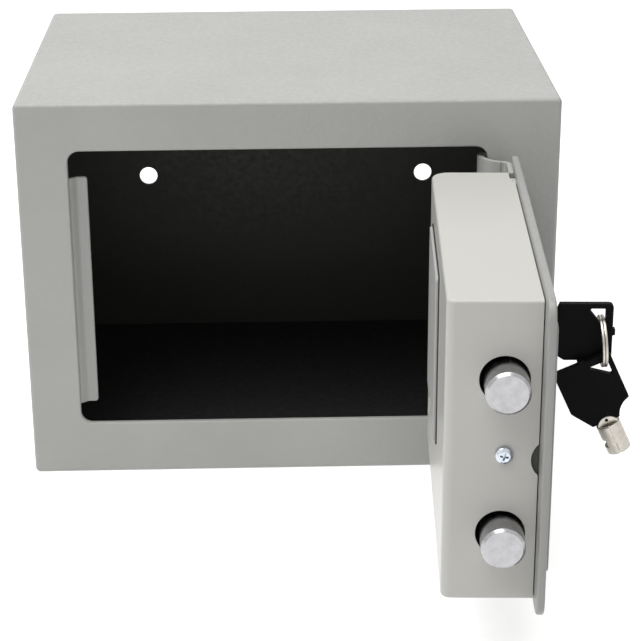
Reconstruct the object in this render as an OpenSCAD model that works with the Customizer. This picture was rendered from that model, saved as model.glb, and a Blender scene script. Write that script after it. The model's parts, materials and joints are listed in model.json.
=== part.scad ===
// Small electronic safe with a keypad door, shown with the door open and its two round bolts out.
// Millimetres, +Z up, +Y to the back. The origin is the centre of the underside.
// Every door piece is drawn where it stands with the door shut, and on_door() then swings it open.

/* [Cabinet] */
// Width over the side walls
cab_w = 230; // [222:1:280]
// Depth over the front and back
cab_d = 170; // [150:1:210]
// Height over the top and bottom
cab_h = 170; // [154:1:210]
// Sheet of the walls and back
sheet = 1.5; // [1:0.1:2.5]
// Sheet of the front frame
frame_t = 2; // [1.5:0.1:2.4]
// Bend radius of the long edges
edge_r = 4; // [3:0.5:8]
// Rounding where the front face meets the walls
front_r = 1.8; // [1:0.1:2]
// Thickness of the floor mat
mat_t = 2.5; // [1:0.1:4]

/* [Door opening] */
// Frame strip on the bolt side
strip_left = 21.8; // [18:0.1:26]
// Frame strip on the hinge side
strip_right = 30.8; // [29:0.1:38]
// Frame strip below the opening
strip_bottom = 24; // [16:0.1:30]
// Frame strip above the opening
strip_top = 20.8; // [16:0.1:30]
// Corner radius of the opening
opening_r = 6; // [3:0.5:10]
// Width of the strike flange beside the opening
strike_w = 7.6; // [6:0.1:8]
// Height that the strike flange leaves free at each end
strike_end = 9; // [6:0.5:20]

/* [Door] */
// Thickness of the door plate
plate_t = 3; // [2.5:0.1:4]
// Gap beside the plate on the bolt side
gap_free = 1.8; // [1:0.1:2.5]
// Gap beside the plate on the hinge side
gap_hinge = 5; // [4.5:0.1:6]
// Gap above and below the plate
gap_z = 1.2; // [0.8:0.1:2]
// Corner radius of the plate
plate_r = 7; // [3:0.5:10]
// Opening angle of the door as drawn
door_open = 87.4; // [60:0.1:95]
// Depth of the box behind the plate
box_d = 34; // [32:0.5:40]
// Sheet of the box
box_t = 1.2; // [0.8:0.1:1.6]
// Plate left showing at the bolt end of the box
box_free = 10.9; // [10.5:0.1:14]
// Plate left showing at the hinge end of the box
box_hinge = 13.2; // [12:0.1:16]
// Plate left showing above and below the box
box_rim = 3; // [2:0.1:5]
// Corner radius of the box at its hinge end
box_r_hinge = 7; // [4:0.5:9]
// Corner radius of the box at its bolt end
box_r_free = 2.5; // [2:0.5:4]

/* [Hinge] */
// Diameter of the hinge pin
pin_d = 4; // [3:0.1:4]
// Pin centre, behind the edge of the opening
pin_in_x = 8.3; // [7.5:0.1:9]
// Running gap between the pin and the frame's inner face
pin_gap = 0.2; // [0.1:0.05:0.5]
// Sheet of the gooseneck arm
arm_t = 2; // [1.5:0.1:2]
// Gap between the gooseneck and the frame's edge
arm_gap = 1; // [0.8:0.1:1.5]
// Thickness of the hinge tabs
tab_t = 3; // [2:0.1:3]

/* [Bolts] */
// Diameter of the two locking bolts
bolt_d = 16; // [12:0.5:18]
// Length of bolt standing out of the box
bolt_out = 11.5; // [9:0.1:12]
// Height between the two bolts
bolt_pitch = 60; // [52:0.5:66]
// Bolt centre behind the plate's inner face
bolt_in = 12.6; // [12:0.1:16]
// Travel of the bolts when the knob turns
bolt_travel = 12; // [10:0.1:12]
// Clearance round a bolt where it leaves the box
bolt_gap = 1; // [0.5:0.1:2]
// Screw of the box above the middle of the bolts
screw_up = 1.9; // [0:0.1:4]

/* [Places on the door] */
// Knob's axis in from the plate's hinge edge
knob_in = 32.2; // [30:0.1:36]
// Knob's axis below the middle of the bolts
knob_down = 4.9; // [2:0.1:8]
// Lock's axis in from the plate's bolt edge
lock_in = 87.4; // [84:0.1:90]
// Lock's axis above the middle of the bolts
lock_up = 17.9; // [17:0.1:22]
// Keypad's middle in from the plate's bolt edge
pad_in = 47.4; // [44:0.1:50]
// Keypad's middle above the middle of the bolts
pad_up = 2.5; // [0:0.1:5]
// Battery bay's middle in from the box's bolt end
bay_in = 83.5; // [80:0.1:88]
// Battery bay's middle above the middle of the bolts
bay_up = 14.6; // [8:0.1:15]
// Reset button in from the box's bolt end
reset_in = 132; // [120:1:134]
// Reset button below the middle of the bolts
reset_down = 40; // [30:1:46]

/* [Front panel] */
// Plate left showing round the front panel
panel_rim = 12; // [9:0.5:15]
// Thickness of the front panel
panel_t = 2; // [1.8:0.1:3]
// Corner radius of the front panel
panel_r = 3; // [1:0.5:12]
// Width of a keypad button
button_w = 11; // [9:0.5:11]
// Height of a keypad button
button_h = 10; // [8:0.5:10]
// Spacing of the buttons across
button_pitch_x = 14; // [13:0.5:14]
// Spacing of the buttons up
button_pitch_z = 13; // [12:0.5:13]
// Travel of a button
button_travel = 0.6; // [0.3:0.1:0.6]
// Diameter of the knob
knob_d = 32; // [26:1:34]
// How far the knob stands out of the panel
knob_h = 12; // [9:0.5:14]
// Diameter of the lock's housing
lock_d = 18; // [17:0.5:18]

/* [Keys] */
// Width of a key's head
head_w = 23.4; // [20:0.1:26]
// Length of a key's head with its neck
head_l = 27; // [25:0.5:30]
// Thickness of a key's head
head_t = 3; // [2.4:0.1:3.2]
// Outside diameter of a key's tube
tube_d = 9.6; // [8:0.1:9.8]
// Length of a key's tube below its head
tube_l = 13.2; // [11:0.1:15]
// Play of the split ring round a key's head
ring_play = 1.4; // [1.2:0.05:2]
// Tilt of the split ring
ring_tilt = 4.5; // [0:0.5:6]
// Tilt of the hanging spare key
spare_tilt = 24.7; // [10:0.1:35]

/* [Battery compartment] */
// Diameter of a cell
cell_d = 14.4; // [14:0.1:14.5]
// Length of a cell
cell_l = 50.2; // [49:0.1:50.5]
// How far the cover stands out of the box
cover_out = 1.5; // [1.4:0.1:3]

/* [Anchor holes] */
// Diameter of the holes in the back
anchor_d = 9; // [6:0.5:12]
// Distance between the holes
anchor_pitch = 141; // [100:1:160]
// Height of the holes
anchor_z = 85.4; // [60:0.2:110]

/* [Hidden] */
$fn = 48;

// Cabinet and opening
front_y = -cab_d / 2;
back_y = cab_d / 2;
frame_in_y = front_y + frame_t;
open_x0 = -cab_w / 2 + strip_left;
open_x1 = cab_w / 2 - strip_right;
open_z0 = strip_bottom;
open_z1 = cab_h - strip_top;
// Front face of the strike flange, just behind the shut plate
strike_y = front_y + plate_t + 1;
strike_t = 2;
strike_x = open_x0 + strike_w;
strike_foot = 12;
mat_gap = 0.4;

// Door plate and box, with the door shut
plate_x0 = open_x0 + gap_free;
plate_x1 = open_x1 - gap_hinge;
plate_z0 = open_z0 + gap_z;
plate_z1 = open_z1 - gap_z;
plate_y = front_y + plate_t;
box_x0 = plate_x0 + box_free;
box_x1 = plate_x1 - box_hinge;
box_z0 = plate_z0 + box_rim;
box_z1 = plate_z1 - box_rim;
box_y = plate_y + box_d;
box_in_y = box_y - box_t;
// The bolts sit a little below the middle of the box
bolt_drop = 1.8;
mid_z = (box_z0 + box_z1) / 2 - bolt_drop;

// Hinge
pin_r = pin_d / 2;
pin_x = open_x1 + pin_in_x;
pin_y = frame_in_y + pin_gap + pin_r;
arm_z0 = box_z0 + 0.6;
arm_z1 = box_z1 - 0.4;
edge_reach = norm([pin_in_x, pin_y - front_y]);
arm_r = edge_reach + arm_gap + arm_t / 2;
arm_seat = 0.8;
arm_bend = 3;
arm_tail = 13;
tab_z0 = open_z0 + 1.2;
tab_z1 = open_z1 - 0.4;
tab_w = 11;
tab_reach = 9;
shaft_gap = 0.05;

// Knob, lock and the mark between the bolts
knob_x = plate_x1 - knob_in;
knob_z = mid_z - knob_down;
lock_x = plate_x0 + lock_in;
lock_z = mid_z + lock_up;

// Bolts and carrier
bolt_y = plate_y + bolt_in;
bolt_tip_x = box_x0 - bolt_out;
// The bolts sit off the middle of their holes, low and towards the plate
hole_y = bolt_y + 0.5 * bolt_gap;
hole_z = mid_z + 0.6 * bolt_gap;
screw_z = mid_z + screw_up;
carrier_t = 2;
carrier_y = plate_y + 0.8;
carrier_in = 26.5;
carrier_below = 17;
carrier_above = 8;
carrier_x0 = box_x0 + carrier_in;
carrier_z0 = knob_z - carrier_below;
carrier_z1 = knob_z + carrier_above;
flange_depth = bolt_in + bolt_d / 2 + 0.7;
tenon_d = bolt_d / 2;
guide_d = 4;
guide_gap = 0.2;
guide_drop = 8;
guide_z = knob_z - guide_drop;
guide_x = [lock_x - 8, lock_x + 26];
lip_depth = 12.7;

// Knob's shaft, and the cam whose pin drives the carrier
shaft_d = 8;
cam_throw = bolt_travel;
knob_turn = 60;
throw_x = cam_throw * sin(knob_turn / 2);
throw_z = cam_throw * cos(knob_turn / 2);
cam_d = 29;
cam_t = 3;
cam_y = carrier_y + carrier_t + 0.8;
drive_pin_d = 4;
drive_gap = 0.35;
bush_d = 12;

// Front panel and keypad
panel_x0 = plate_x0 + panel_rim;
panel_x1 = plate_x1 - panel_rim;
panel_z0 = plate_z0 + panel_rim + 0.8;
panel_z1 = plate_z1 - panel_rim - 0.8;
panel_y = front_y - panel_t;
pad_x = plate_x0 + pad_in;
pad_z = mid_z + pad_up;
pad_gap = 0.3;
window_w = 2 * button_pitch_x + button_w + 5;
window_h = 3 * button_pitch_z + button_h + 5;
roof_t = panel_t - 0.8;
button_out = 0.8;
board_y = front_y + 1.4;
board_t = 1.2;
dome_h = 0.4;
lens_up = 8;
lens_z = pad_z + window_h / 2 + lens_up;

// Lock with its key
lock_flange_d = 22;
lock_flange_t = 1.6;
lock_face_y = panel_y - lock_flange_t;
lock_depth = 12;
lock_end_y = plate_y + lock_depth;
plug_d = 12.6;
nut_af = 21;
nut_t = 4;
head_r = 1.2;
head_y = lock_face_y - 0.5;
tube_wall = 1.1;
tube_base = 0.4;
tube_end_y = head_y + tube_l;

// Ring hole of a key: a right triangle beside the head's far end and one side
hole_end = 2.9;
hole_side = 2;
hole_long = 6.7;
hole_across = 8.5;
// Where the ring's wire passes through it, from the far end and from the side
in_lock = [4.35, 6.2];
in_spare = [5, 3.95];
ring_wire = 1.3;
ring_width = 2.3;
ring_r = (head_w - in_lock[1] + ring_play + ring_wire / 2) / 2;
// Top of the ring, in the hole of the key in the lock
ring_y = head_y - head_l + in_lock[0];
ring_z = lock_z + head_w / 2 - in_lock[1];
// The spare key hangs beside the other key's head
spare_shift = head_t + 0.6;
spare_drop = ring_r + sqrt(ring_r * ring_r - spare_shift * spare_shift);

// Button that sets a new code, in the back of the box
reset_x = box_x0 + reset_in;
reset_z = mid_z - reset_down;
reset_d = 6;
reset_out = 0.2;

// Battery compartment in the back of the box
case_wall = 1.5;
case_x = box_x0 + bay_in;
case_z = mid_z + bay_up;
case_w = cell_l + 5.6;
case_h = 4 * cell_d + 5.4;
case_depth = cell_d + 2.1;
case_rim = 3.2;
case_rim_t = 0.5;
cover_y = box_y + case_rim_t;
cover_t = cover_out - case_rim_t;
cover_w = case_w + 2 * case_rim - 2;
cover_h = case_h + 2 * case_rim - 2;
latch_out = 0.3;

// Solenoid that blocks the carrier
coil_w = 20;
coil_h = 24;
coil_x = lock_x - 23;
coil_z0 = carrier_z1 + 3;
plunger_d = 5;
plunger_y = plate_y + 8;
plunger_travel = 4;

// Pieces on the door are drawn shut and swung open about the hinge pin.
module on_door() {
    translate([pin_x, pin_y, 0])
        rotate([0, 0, door_open])
            translate([-pin_x, -pin_y, 0])
                children();
}

// Outline from x0 to x1 and z0 to z1 with one radius at each corner.
module rounded(x0, x1, z0, z1, r) {
    translate([x0 + r, z0]) square([x1 - x0 - 2 * r, z1 - z0]);
    translate([x0, z0 + r]) square([x1 - x0, z1 - z0 - 2 * r]);
    for (x = [x0 + r, x1 - r], z = [z0 + r, z1 - r])
        translate([x, z]) circle(r = r);
}

// Plate in the XZ plane, from y to y + t, cut from an outline.
module plate_xz(y, t) {
    translate([0, y + t, 0]) rotate([90, 0, 0]) linear_extrude(t) children();
}

// Cylinder along Y from y0 to y1.
module rod_y(x, z, y0, y1, r) {
    translate([x, y0, z]) rotate([-90, 0, 0]) cylinder(h = y1 - y0, r = r);
}

// Cylinder along X from x0 to x1.
module rod_x(y, z, x0, x1, r) {
    translate([x0, y, z]) rotate([0, 90, 0]) cylinder(h = x1 - x0, r = r);
}

// ---- Cabinet ----

module cabinet_section(inset) {
    rounded(-cab_w / 2 + inset, cab_w / 2 - inset, inset, cab_h - inset, max(edge_r - inset, 0.5));
}

module cabinet_shell() {
    color([0.66, 0.66, 0.63])
        plate_xz(frame_in_y, back_y - frame_in_y)
            difference() {
                cabinet_section(0);
                cabinet_section(sheet);
            }
}

module back_panel() {
    color([0.12, 0.12, 0.12])
        difference() {
            plate_xz(back_y - sheet, sheet) cabinet_section(sheet);
            for (side = [-1, 1])
                rod_y(side * anchor_pitch / 2, anchor_z, back_y - 3 * sheet, back_y + sheet, anchor_d / 2);
        }
}

module front_frame() {
    color([0.66, 0.66, 0.63])
        difference() {
            intersection() {
                plate_xz(front_y, frame_t) cabinet_section(0);
                linear_extrude(cab_h)
                    rounded(-cab_w / 2, cab_w / 2, front_y, back_y, front_r);
                rotate([90, 0, 90])
                    translate([0, 0, -cab_w / 2])
                        linear_extrude(cab_w)
                            rounded(front_y, back_y, 0, cab_h, front_r);
            }
            plate_xz(front_y - 1, frame_t + 2)
                rounded(open_x0, open_x1, open_z0, open_z1, opening_r);
        }
}

// A folded strip behind the bolt side of the opening: it stops the door and holds the bolts.
module strike_flange() {
    color([0.66, 0.66, 0.63])
        intersection() {
            translate([0, 0, open_z0 + strike_end])
                linear_extrude(open_z1 - open_z0 - 2 * strike_end)
                    union() {
                        translate([open_x0 - strike_foot, frame_in_y])
                            square([strike_foot, strike_y + strike_t - frame_in_y]);
                        translate([open_x0 - 1, strike_y])
                            square([strike_w + 1, strike_t]);
                    }
            plate_xz(frame_in_y - 1, 10)
                rounded(open_x0 - strike_foot, strike_x, open_z0 + strike_end, open_z1 - strike_end, 3);
        }
}

module floor_mat() {
    side = cab_w / 2 - max(sheet, edge_r) - mat_gap;
    color([0.05, 0.05, 0.06])
        translate([0, 0, sheet])
            linear_extrude(mat_t)
                rounded(-side, side, frame_in_y + mat_gap, back_y - sheet - mat_gap, 2);
}

// Two tabs on the frame's inner face carry the ends of the hinge pin.
module hinge_tabs() {
    color([0.66, 0.66, 0.63])
        for (z = [tab_z0, tab_z1 - tab_t])
            difference() {
                translate([pin_x - tab_w / 2, frame_in_y, z]) cube([tab_w, tab_reach, tab_t]);
                translate([pin_x, pin_y, z - 1]) cylinder(h = tab_t + 2, r = pin_r + shaft_gap);
            }
}

// ---- Hinge pieces on the door ----

module hinge_pin() {
    color([0.6, 0.6, 0.6])
        on_door()
            translate([pin_x, pin_y, tab_z0 + 0.3])
                cylinder(h = tab_z1 - tab_z0 - 0.6, r = pin_r);
}

// Part of a ring round the origin between the angles a0 and a1, less than half a turn apart.
module ring_part(r, t, a0, a1) {
    far = 3 * (r + t);
    intersection() {
        difference() {
            circle(r = r + t / 2);
            circle(r = r - t / 2);
        }
        polygon([[0, 0], [far * cos(a0), far * sin(a0)],
            [far * cos((a0 + a1) / 2), far * sin((a0 + a1) / 2)], [far * cos(a1), far * sin(a1)]]);
    }
}

// The gooseneck: a tail on the plate, a bend, an arc round the pin and a leg that seats on the pin.
module arm_outline() {
    tail_y = plate_y + arm_t / 2;
    join_y = tail_y + arm_bend;
    join_dy = join_y - pin_y;
    join_x = pin_x - sqrt(arm_r * arm_r - join_dy * join_dy);
    leg_x = pin_x + pin_r + arm_t / 2 - arm_seat;
    leg_bend = leg_x - pin_x;
    join_a = atan2(join_dy, join_x - pin_x);
    translate([join_x - arm_bend - arm_tail, plate_y]) square([arm_tail, arm_t]);
    translate([join_x - arm_bend, join_y]) ring_part(arm_bend, arm_t, -90, 0);
    translate([pin_x, pin_y]) ring_part(arm_r, arm_t, 90, join_a);
    translate([pin_x, pin_y + arm_r - leg_bend]) ring_part(leg_bend, arm_t, 0, 90);
    translate([leg_x - arm_t / 2, pin_y - pin_r / 2]) square([arm_t, arm_r - leg_bend + pin_r / 2]);
}

module hinge_arm() {
    color([0.66, 0.66, 0.63])
        on_door()
            difference() {
                translate([0, 0, arm_z0]) linear_extrude(arm_z1 - arm_z0) arm_outline();
                translate([pin_x, pin_y, arm_z0 - 1])
                    cylinder(h = arm_z1 - arm_z0 + 2, r = pin_r + 0.02);
            }
}

// ---- Door plate and box ----

module door_plate() {
    color([0.66, 0.66, 0.63])
        on_door()
            difference() {
                plate_xz(front_y, plate_t) {
                    rounded(plate_x0, plate_x1, plate_z0, plate_z1, plate_r);
                    // The corners at the hinge are square
                    translate([plate_x1 - 2 * plate_r, plate_z0])
                        square([2 * plate_r, plate_z1 - plate_z0]);
                }
                translate([pad_x - window_w / 2, front_y - 1, pad_z - window_h / 2])
                    cube([window_w, plate_t + 2, window_h]);
                rod_y(knob_x, knob_z, front_y - 1, plate_y + 1, bush_d / 2 + shaft_gap);
                rod_y(lock_x, lock_z, front_y - 1, plate_y + 1, lock_d / 2 + shaft_gap);
            }
}

// Plan of the box from y0 back: square towards the plate, rounded at its two back corners.
module box_plan(inset, y0) {
    x0 = box_x0 + inset;
    x1 = box_x1 - inset;
    y1 = box_y - inset;
    r0 = max(box_r_free - inset, 0.5);
    r1 = box_r_hinge - inset;
    difference() {
        translate([x0, y0]) square([x1 - x0, y1 - y0]);
        translate([x0 - 1, y1 - r0]) square([r0 + 1, r0 + 1]);
        translate([x1 - r1, y1 - r1]) square([r1 + 1, r1 + 1]);
    }
    translate([x0 + r0, y1 - r0]) circle(r = r0);
    translate([x1 - r1, y1 - r1]) circle(r = r1);
}

module door_box() {
    notch_h = 13;
    notch_d = 3;
    notch_z = mid_z - 0.3;
    notch_back = (notch_h * notch_h / 4 - notch_d * notch_d) / (2 * notch_d);
    color([0.8, 0.79, 0.77])
        on_door()
            difference() {
                translate([0, 0, box_z0]) linear_extrude(box_z1 - box_z0) box_plan(0, plate_y);
                translate([0, 0, box_z0 + box_t])
                    linear_extrude(box_z1 - box_z0 - 2 * box_t) box_plan(box_t, plate_y - 1);
                // Clearance for the tail of the gooseneck
                translate([box_x1 - 9, plate_y - 1, box_z0 - 1])
                    cube([10, arm_t + 1.3, box_z1 - box_z0 + 2]);
                for (side = [-1, 1])
                    rod_x(hole_y, hole_z + side * bolt_pitch / 2, box_x0 - 1, box_x0 + box_t + 1,
                        bolt_d / 2 + bolt_gap);
                rod_x(bolt_y, screw_z, box_x0 - 1, box_x0 + box_t + 1, 1.7);
                // D-shaped notch beside the plate
                rod_x(plate_y - notch_back, notch_z, box_x0 - 1, box_x0 + box_t + 1,
                    notch_back + notch_d);
                // Window for the battery case
                translate([case_x - case_w / 2 - 0.3, box_in_y - 1, case_z - case_h / 2 - 0.3])
                    cube([case_w + 0.6, box_t + 2, case_h + 0.6]);
                rod_y(reset_x, reset_z, box_in_y - 1, box_y + 1, reset_d / 2 + 0.3);
            }
}

// Folded bracket on the plate that the box is screwed to, between the two bolts.
module box_bracket() {
    wall = 1.5;
    half = 8;
    x0 = box_x0 + box_t;
    color([0.6, 0.6, 0.6])
        on_door()
            difference() {
                union() {
                    translate([x0, plate_y, screw_z - half]) cube([11, wall, 2 * half]);
                    translate([x0, plate_y, screw_z - half]) cube([wall, bolt_in + 6, 2 * half]);
                }
                rod_x(bolt_y, screw_z, x0 - 1, x0 + wall + 1, 1.5);
            }
}

module box_screw() {
    color([0.75, 0.75, 0.75])
        on_door() {
            difference() {
                union() {
                    rod_x(bolt_y, screw_z, box_x0 - 1.4, box_x0, 3.25);
                    rod_x(bolt_y, screw_z, box_x0 - 2.3, box_x0 - 1.4, 2.6);
                }
                // Cross slot
                for (a = [0, 90])
                    translate([box_x0 - 1.6, bolt_y, screw_z])
                        rotate([a, 0, 0]) cube([1.6, 3.4, 0.8], center = true);
            }
            rod_x(bolt_y, screw_z, box_x0, box_x0 + box_t + 5, 1.45);
        }
}

// ---- Front panel, keypad and lenses ----

module front_panel() {
    color([0.83, 0.83, 0.82])
        on_door()
            difference() {
                plate_xz(panel_y, panel_t) rounded(panel_x0, panel_x1, panel_z0, panel_z1, panel_r);
                // Recess behind the buttons
                translate([pad_x - window_w / 2, panel_y + roof_t, pad_z - window_h / 2])
                    cube([window_w, panel_t, window_h]);
                for (i = [0:11])
                    button_at(i)
                        translate([0, panel_y - 1, 0])
                            plate_xz(0, panel_t + 2)
                                rounded(-button_w / 2 - pad_gap, button_w / 2 + pad_gap,
                                    -button_h / 2 - pad_gap, button_h / 2 + pad_gap, 2);
                for (i = [-1:1])
                    rod_y(pad_x + i * button_pitch_x, lens_z, panel_y - 1, front_y + 1, 2.05);
                rod_y(knob_x, knob_z, panel_y - 1, front_y + 1, bush_d / 2 + shaft_gap);
                rod_y(lock_x, lock_z, panel_y - 1, front_y + 1, lock_d / 2 + shaft_gap);
            }
}

module status_lenses() {
    color([0.4, 0.7, 0.4])
        on_door()
            for (i = [-1:1])
                rod_y(pad_x + i * button_pitch_x, lens_z, panel_y - 0.4, front_y, 2);
}

// Places a child at button i, counted along the rows from the top left.
module button_at(i) {
    column = i % 3;
    row = floor(i / 3);
    translate([pad_x + (column - 1) * button_pitch_x, 0, pad_z + (1.5 - row) * button_pitch_z])
        children();
}

module button(i) {
    flange = 0.8;
    flange_y = panel_y + roof_t + 0.2;
    color([0.2, 0.2, 0.22])
        on_door()
            button_at(i) {
                plate_xz(panel_y - button_out, flange_y - panel_y + button_out)
                    rounded(-button_w / 2, button_w / 2, -button_h / 2, button_h / 2, 1.8);
                plate_xz(flange_y, 0.6)
                    rounded(-button_w / 2 - flange, button_w / 2 + flange,
                        -button_h / 2 - flange, button_h / 2 + flange, 1.8);
                rod_y(0, 0, flange_y + 0.5, board_y - dome_h - 0.2 - button_travel, 2);
            }
}

module keypad_board() {
    edge = 0.4;
    color([0.1, 0.35, 0.2])
        on_door() {
            translate([pad_x - window_w / 2 + edge, board_y, pad_z - window_h / 2 + edge])
                cube([window_w - 2 * edge, board_t, window_h - 2 * edge]);
            for (i = [0:11])
                button_at(i) rod_y(0, 0, board_y - dome_h, board_y + 0.1, 2.5);
            // Feet that stand the board off the panel's recess
            for (sx = [-1, 1], sz = [-1, 1])
                translate([pad_x + sx * (window_w / 2 - 1.2) - 0.7, panel_y + roof_t,
                    pad_z + sz * (window_h / 2 - 1.2) - 0.7])
                    cube([1.4, board_y - panel_y - roof_t + 0.1, 1.4]);
        }
}

// ---- Batteries ----

module battery_case() {
    color([0.08, 0.08, 0.08])
        on_door()
            difference() {
                union() {
                    translate([case_x - case_w / 2, box_y - case_depth, case_z - case_h / 2])
                        cube([case_w, case_depth + 0.1, case_h]);
                    plate_xz(box_y, case_rim_t)
                        rounded(case_x - case_w / 2 - case_rim, case_x + case_w / 2 + case_rim,
                            case_z - case_h / 2 - case_rim, case_z + case_h / 2 + case_rim, 2);
                }
                translate([case_x - case_w / 2 + case_wall, box_y - case_depth + case_wall,
                    case_z - case_h / 2 + case_wall])
                    cube([case_w - 2 * case_wall, case_depth + 2, case_h - 2 * case_wall]);
            }
}

// Spring plates on the end walls of the case, one for each pair of cells.
module battery_contacts() {
    plate = 0.7;
    wall_x = case_w / 2 - case_wall;
    color([0.75, 0.72, 0.6])
        on_door()
            for (side = [-1, 1], row = [-1, 1])
                translate([case_x + side * (wall_x - plate / 2) - plate / 2,
                    box_y - case_depth + case_wall + 3, case_z + row * cell_d - cell_d + 2])
                    cube([plate, 9, 2 * cell_d - 4]);
}

module battery_cells() {
    color([0.75, 0.75, 0.78])
        on_door()
            for (i = [0:3]) {
                z = case_z + (i - 1.5) * (cell_d + 0.2);
                y = box_y - case_depth + case_wall + cell_d / 2 + 0.1;
                side = i % 2 == 0 ? 1 : -1;
                rod_x(y, z, case_x - cell_l / 2 + (side < 0 ? 1 : 0),
                    case_x + cell_l / 2 - (side > 0 ? 1 : 0), cell_d / 2);
                rod_x(y, z, side > 0 ? case_x : case_x - cell_l / 2,
                    side > 0 ? case_x + cell_l / 2 : case_x, 2.7);
            }
}

// Cover with a finger latch at its lower edge and a snap hook behind it.
module battery_cover() {
    x0 = case_x - cover_w / 2;
    z0 = case_z - cover_h / 2;
    color([0.1, 0.1, 0.1])
        on_door() {
            difference() {
                plate_xz(cover_y, cover_t)
                    rounded(x0, x0 + cover_w, z0, z0 + cover_h, 2);
                // Finger dish round the latch
                translate([case_x - 7, cover_y + cover_t - 0.5, z0 - 1]) cube([14, 1, 6]);
            }
            translate([case_x - 5, cover_y + cover_t - 0.7, z0 + 0.4])
                cube([10, 0.7 + latch_out, 3.4]);
            translate([case_x - 5, box_y - 2.6, case_z - case_h / 2 + case_wall + 0.5])
                cube([10, case_rim_t + 2.7, 0.9]);
        }
}

// ---- Bolts and carrier ----

module bolt(z) {
    chamfer = 1;
    tail = carrier_t + 1.5;
    color([0.85, 0.85, 0.87])
        on_door()
            translate([0, bolt_y, z])
                rotate([0, 90, 0])
                    rotate_extrude()
                        polygon([[0, bolt_tip_x], [bolt_d / 2 - chamfer, bolt_tip_x],
                            [bolt_d / 2, bolt_tip_x + chamfer], [bolt_d / 2, carrier_x0],
                            [tenon_d / 2, carrier_x0], [tenon_d / 2, carrier_x0 + carrier_t],
                            [tenon_d / 2 + 1.5, carrier_x0 + carrier_t],
                            [tenon_d / 2 + 1.5, carrier_x0 + tail], [0, carrier_x0 + tail]]);
}

module bolt_carrier() {
    end_x = knob_x + 2;
    shaft_slot = shaft_d / 2 + 0.3;
    flange_half = bolt_pitch / 2 + 10;
    slot_half = drive_pin_d / 2 + drive_gap;
    color([0.62, 0.62, 0.6])
        on_door()
            difference() {
                union() {
                    translate([carrier_x0, carrier_y, carrier_z0])
                        cube([end_x - carrier_x0, carrier_t, carrier_z1 - carrier_z0]);
                    translate([carrier_x0, carrier_y, mid_z - flange_half])
                        cube([carrier_t, flange_depth, 2 * flange_half]);
                    translate([carrier_x0, carrier_y, carrier_z1 - carrier_t])
                        cube([coil_x - carrier_x0 + 10, lip_depth, carrier_t]);
                }
                // Fork round the knob's shaft
                translate([knob_x - bolt_travel - shaft_slot, carrier_y - 1, knob_z - shaft_slot])
                    cube([bolt_travel + shaft_slot + 5, carrier_t + 2, 2 * shaft_slot]);
                // Upright slot for the drive pin
                translate([knob_x - throw_x - slot_half, carrier_y - 1,
                    knob_z - cam_throw - slot_half])
                    cube([2 * slot_half, carrier_t + 2, cam_throw - throw_z + 2 * slot_half]);
                // Slots over the guide screws
                for (x = guide_x)
                    plate_xz(carrier_y - 1, carrier_t + 2)
                        rounded(x - bolt_travel - guide_d / 2 - guide_gap, x + guide_d / 2 + guide_gap,
                            guide_z - guide_d / 2 - guide_gap, guide_z + guide_d / 2 + guide_gap,
                            guide_d / 2 + guide_gap - 0.01);
                // Tenon holes for the bolts
                for (side = [-1, 1])
                    rod_x(bolt_y, mid_z + side * bolt_pitch / 2, carrier_x0 - 1,
                        carrier_x0 + carrier_t + 1, tenon_d / 2 + shaft_gap);
                // Holes that the solenoid's plunger drops into, bolts out and bolts in
                for (x = [coil_x, coil_x - bolt_travel])
                    translate([x, plunger_y, carrier_z1 - carrier_t - 1])
                        cylinder(h = carrier_t + 2, r = plunger_d / 2 + 0.4);
            }
}

module guide_screws() {
    color([0.75, 0.75, 0.75])
        on_door()
            for (x = guide_x) {
                rod_y(x, guide_z, plate_y, carrier_y + carrier_t + 0.4, guide_d / 2);
                rod_y(x, guide_z, carrier_y + carrier_t + 0.3, carrier_y + carrier_t + 2.2, guide_d);
            }
}

// ---- Knob and drive ----

module knob() {
    grip = 7;
    gap = 0.6;
    y1 = panel_y - gap;
    color([0.15, 0.15, 0.16])
        on_door()
            difference() {
                union() {
                    rod_y(knob_x, knob_z, y1 - 4, y1, knob_d / 2);
                    intersection() {
                        rod_y(knob_x, knob_z, panel_y - knob_h, y1, knob_d / 2 - 1.5);
                        translate([knob_x - grip / 2, panel_y - knob_h - 1, knob_z - knob_d])
                            cube([grip, knob_h + 2, 2 * knob_d]);
                    }
                }
                rod_y(knob_x, knob_z, y1 - 7, y1 + 1, shaft_d / 2 + shaft_gap);
            }
}

module knob_shaft() {
    color([0.75, 0.75, 0.75])
        on_door()
            rod_y(knob_x, knob_z, panel_y - 7.4, cam_y + cam_t + 3, shaft_d / 2);
}

module knob_bush() {
    color([0.8, 0.7, 0.45])
        on_door()
            difference() {
                rod_y(knob_x, knob_z, panel_y - 0.3, plate_y + 0.4, bush_d / 2);
                rod_y(knob_x, knob_z, panel_y - 2, plate_y + 2, shaft_d / 2 + shaft_gap);
            }
}

module drive_cam() {
    color([0.62, 0.62, 0.6])
        on_door()
            difference() {
                union() {
                    rod_y(knob_x, knob_z, cam_y, cam_y + cam_t, cam_d / 2);
                    rod_y(knob_x - throw_x, knob_z - throw_z, carrier_y - 0.4, cam_y + 1,
                        drive_pin_d / 2);
                }
                rod_y(knob_x, knob_z, cam_y - 1, cam_y + cam_t + 1, shaft_d / 2 + shaft_gap);
            }
}

// ---- Solenoid ----

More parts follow.
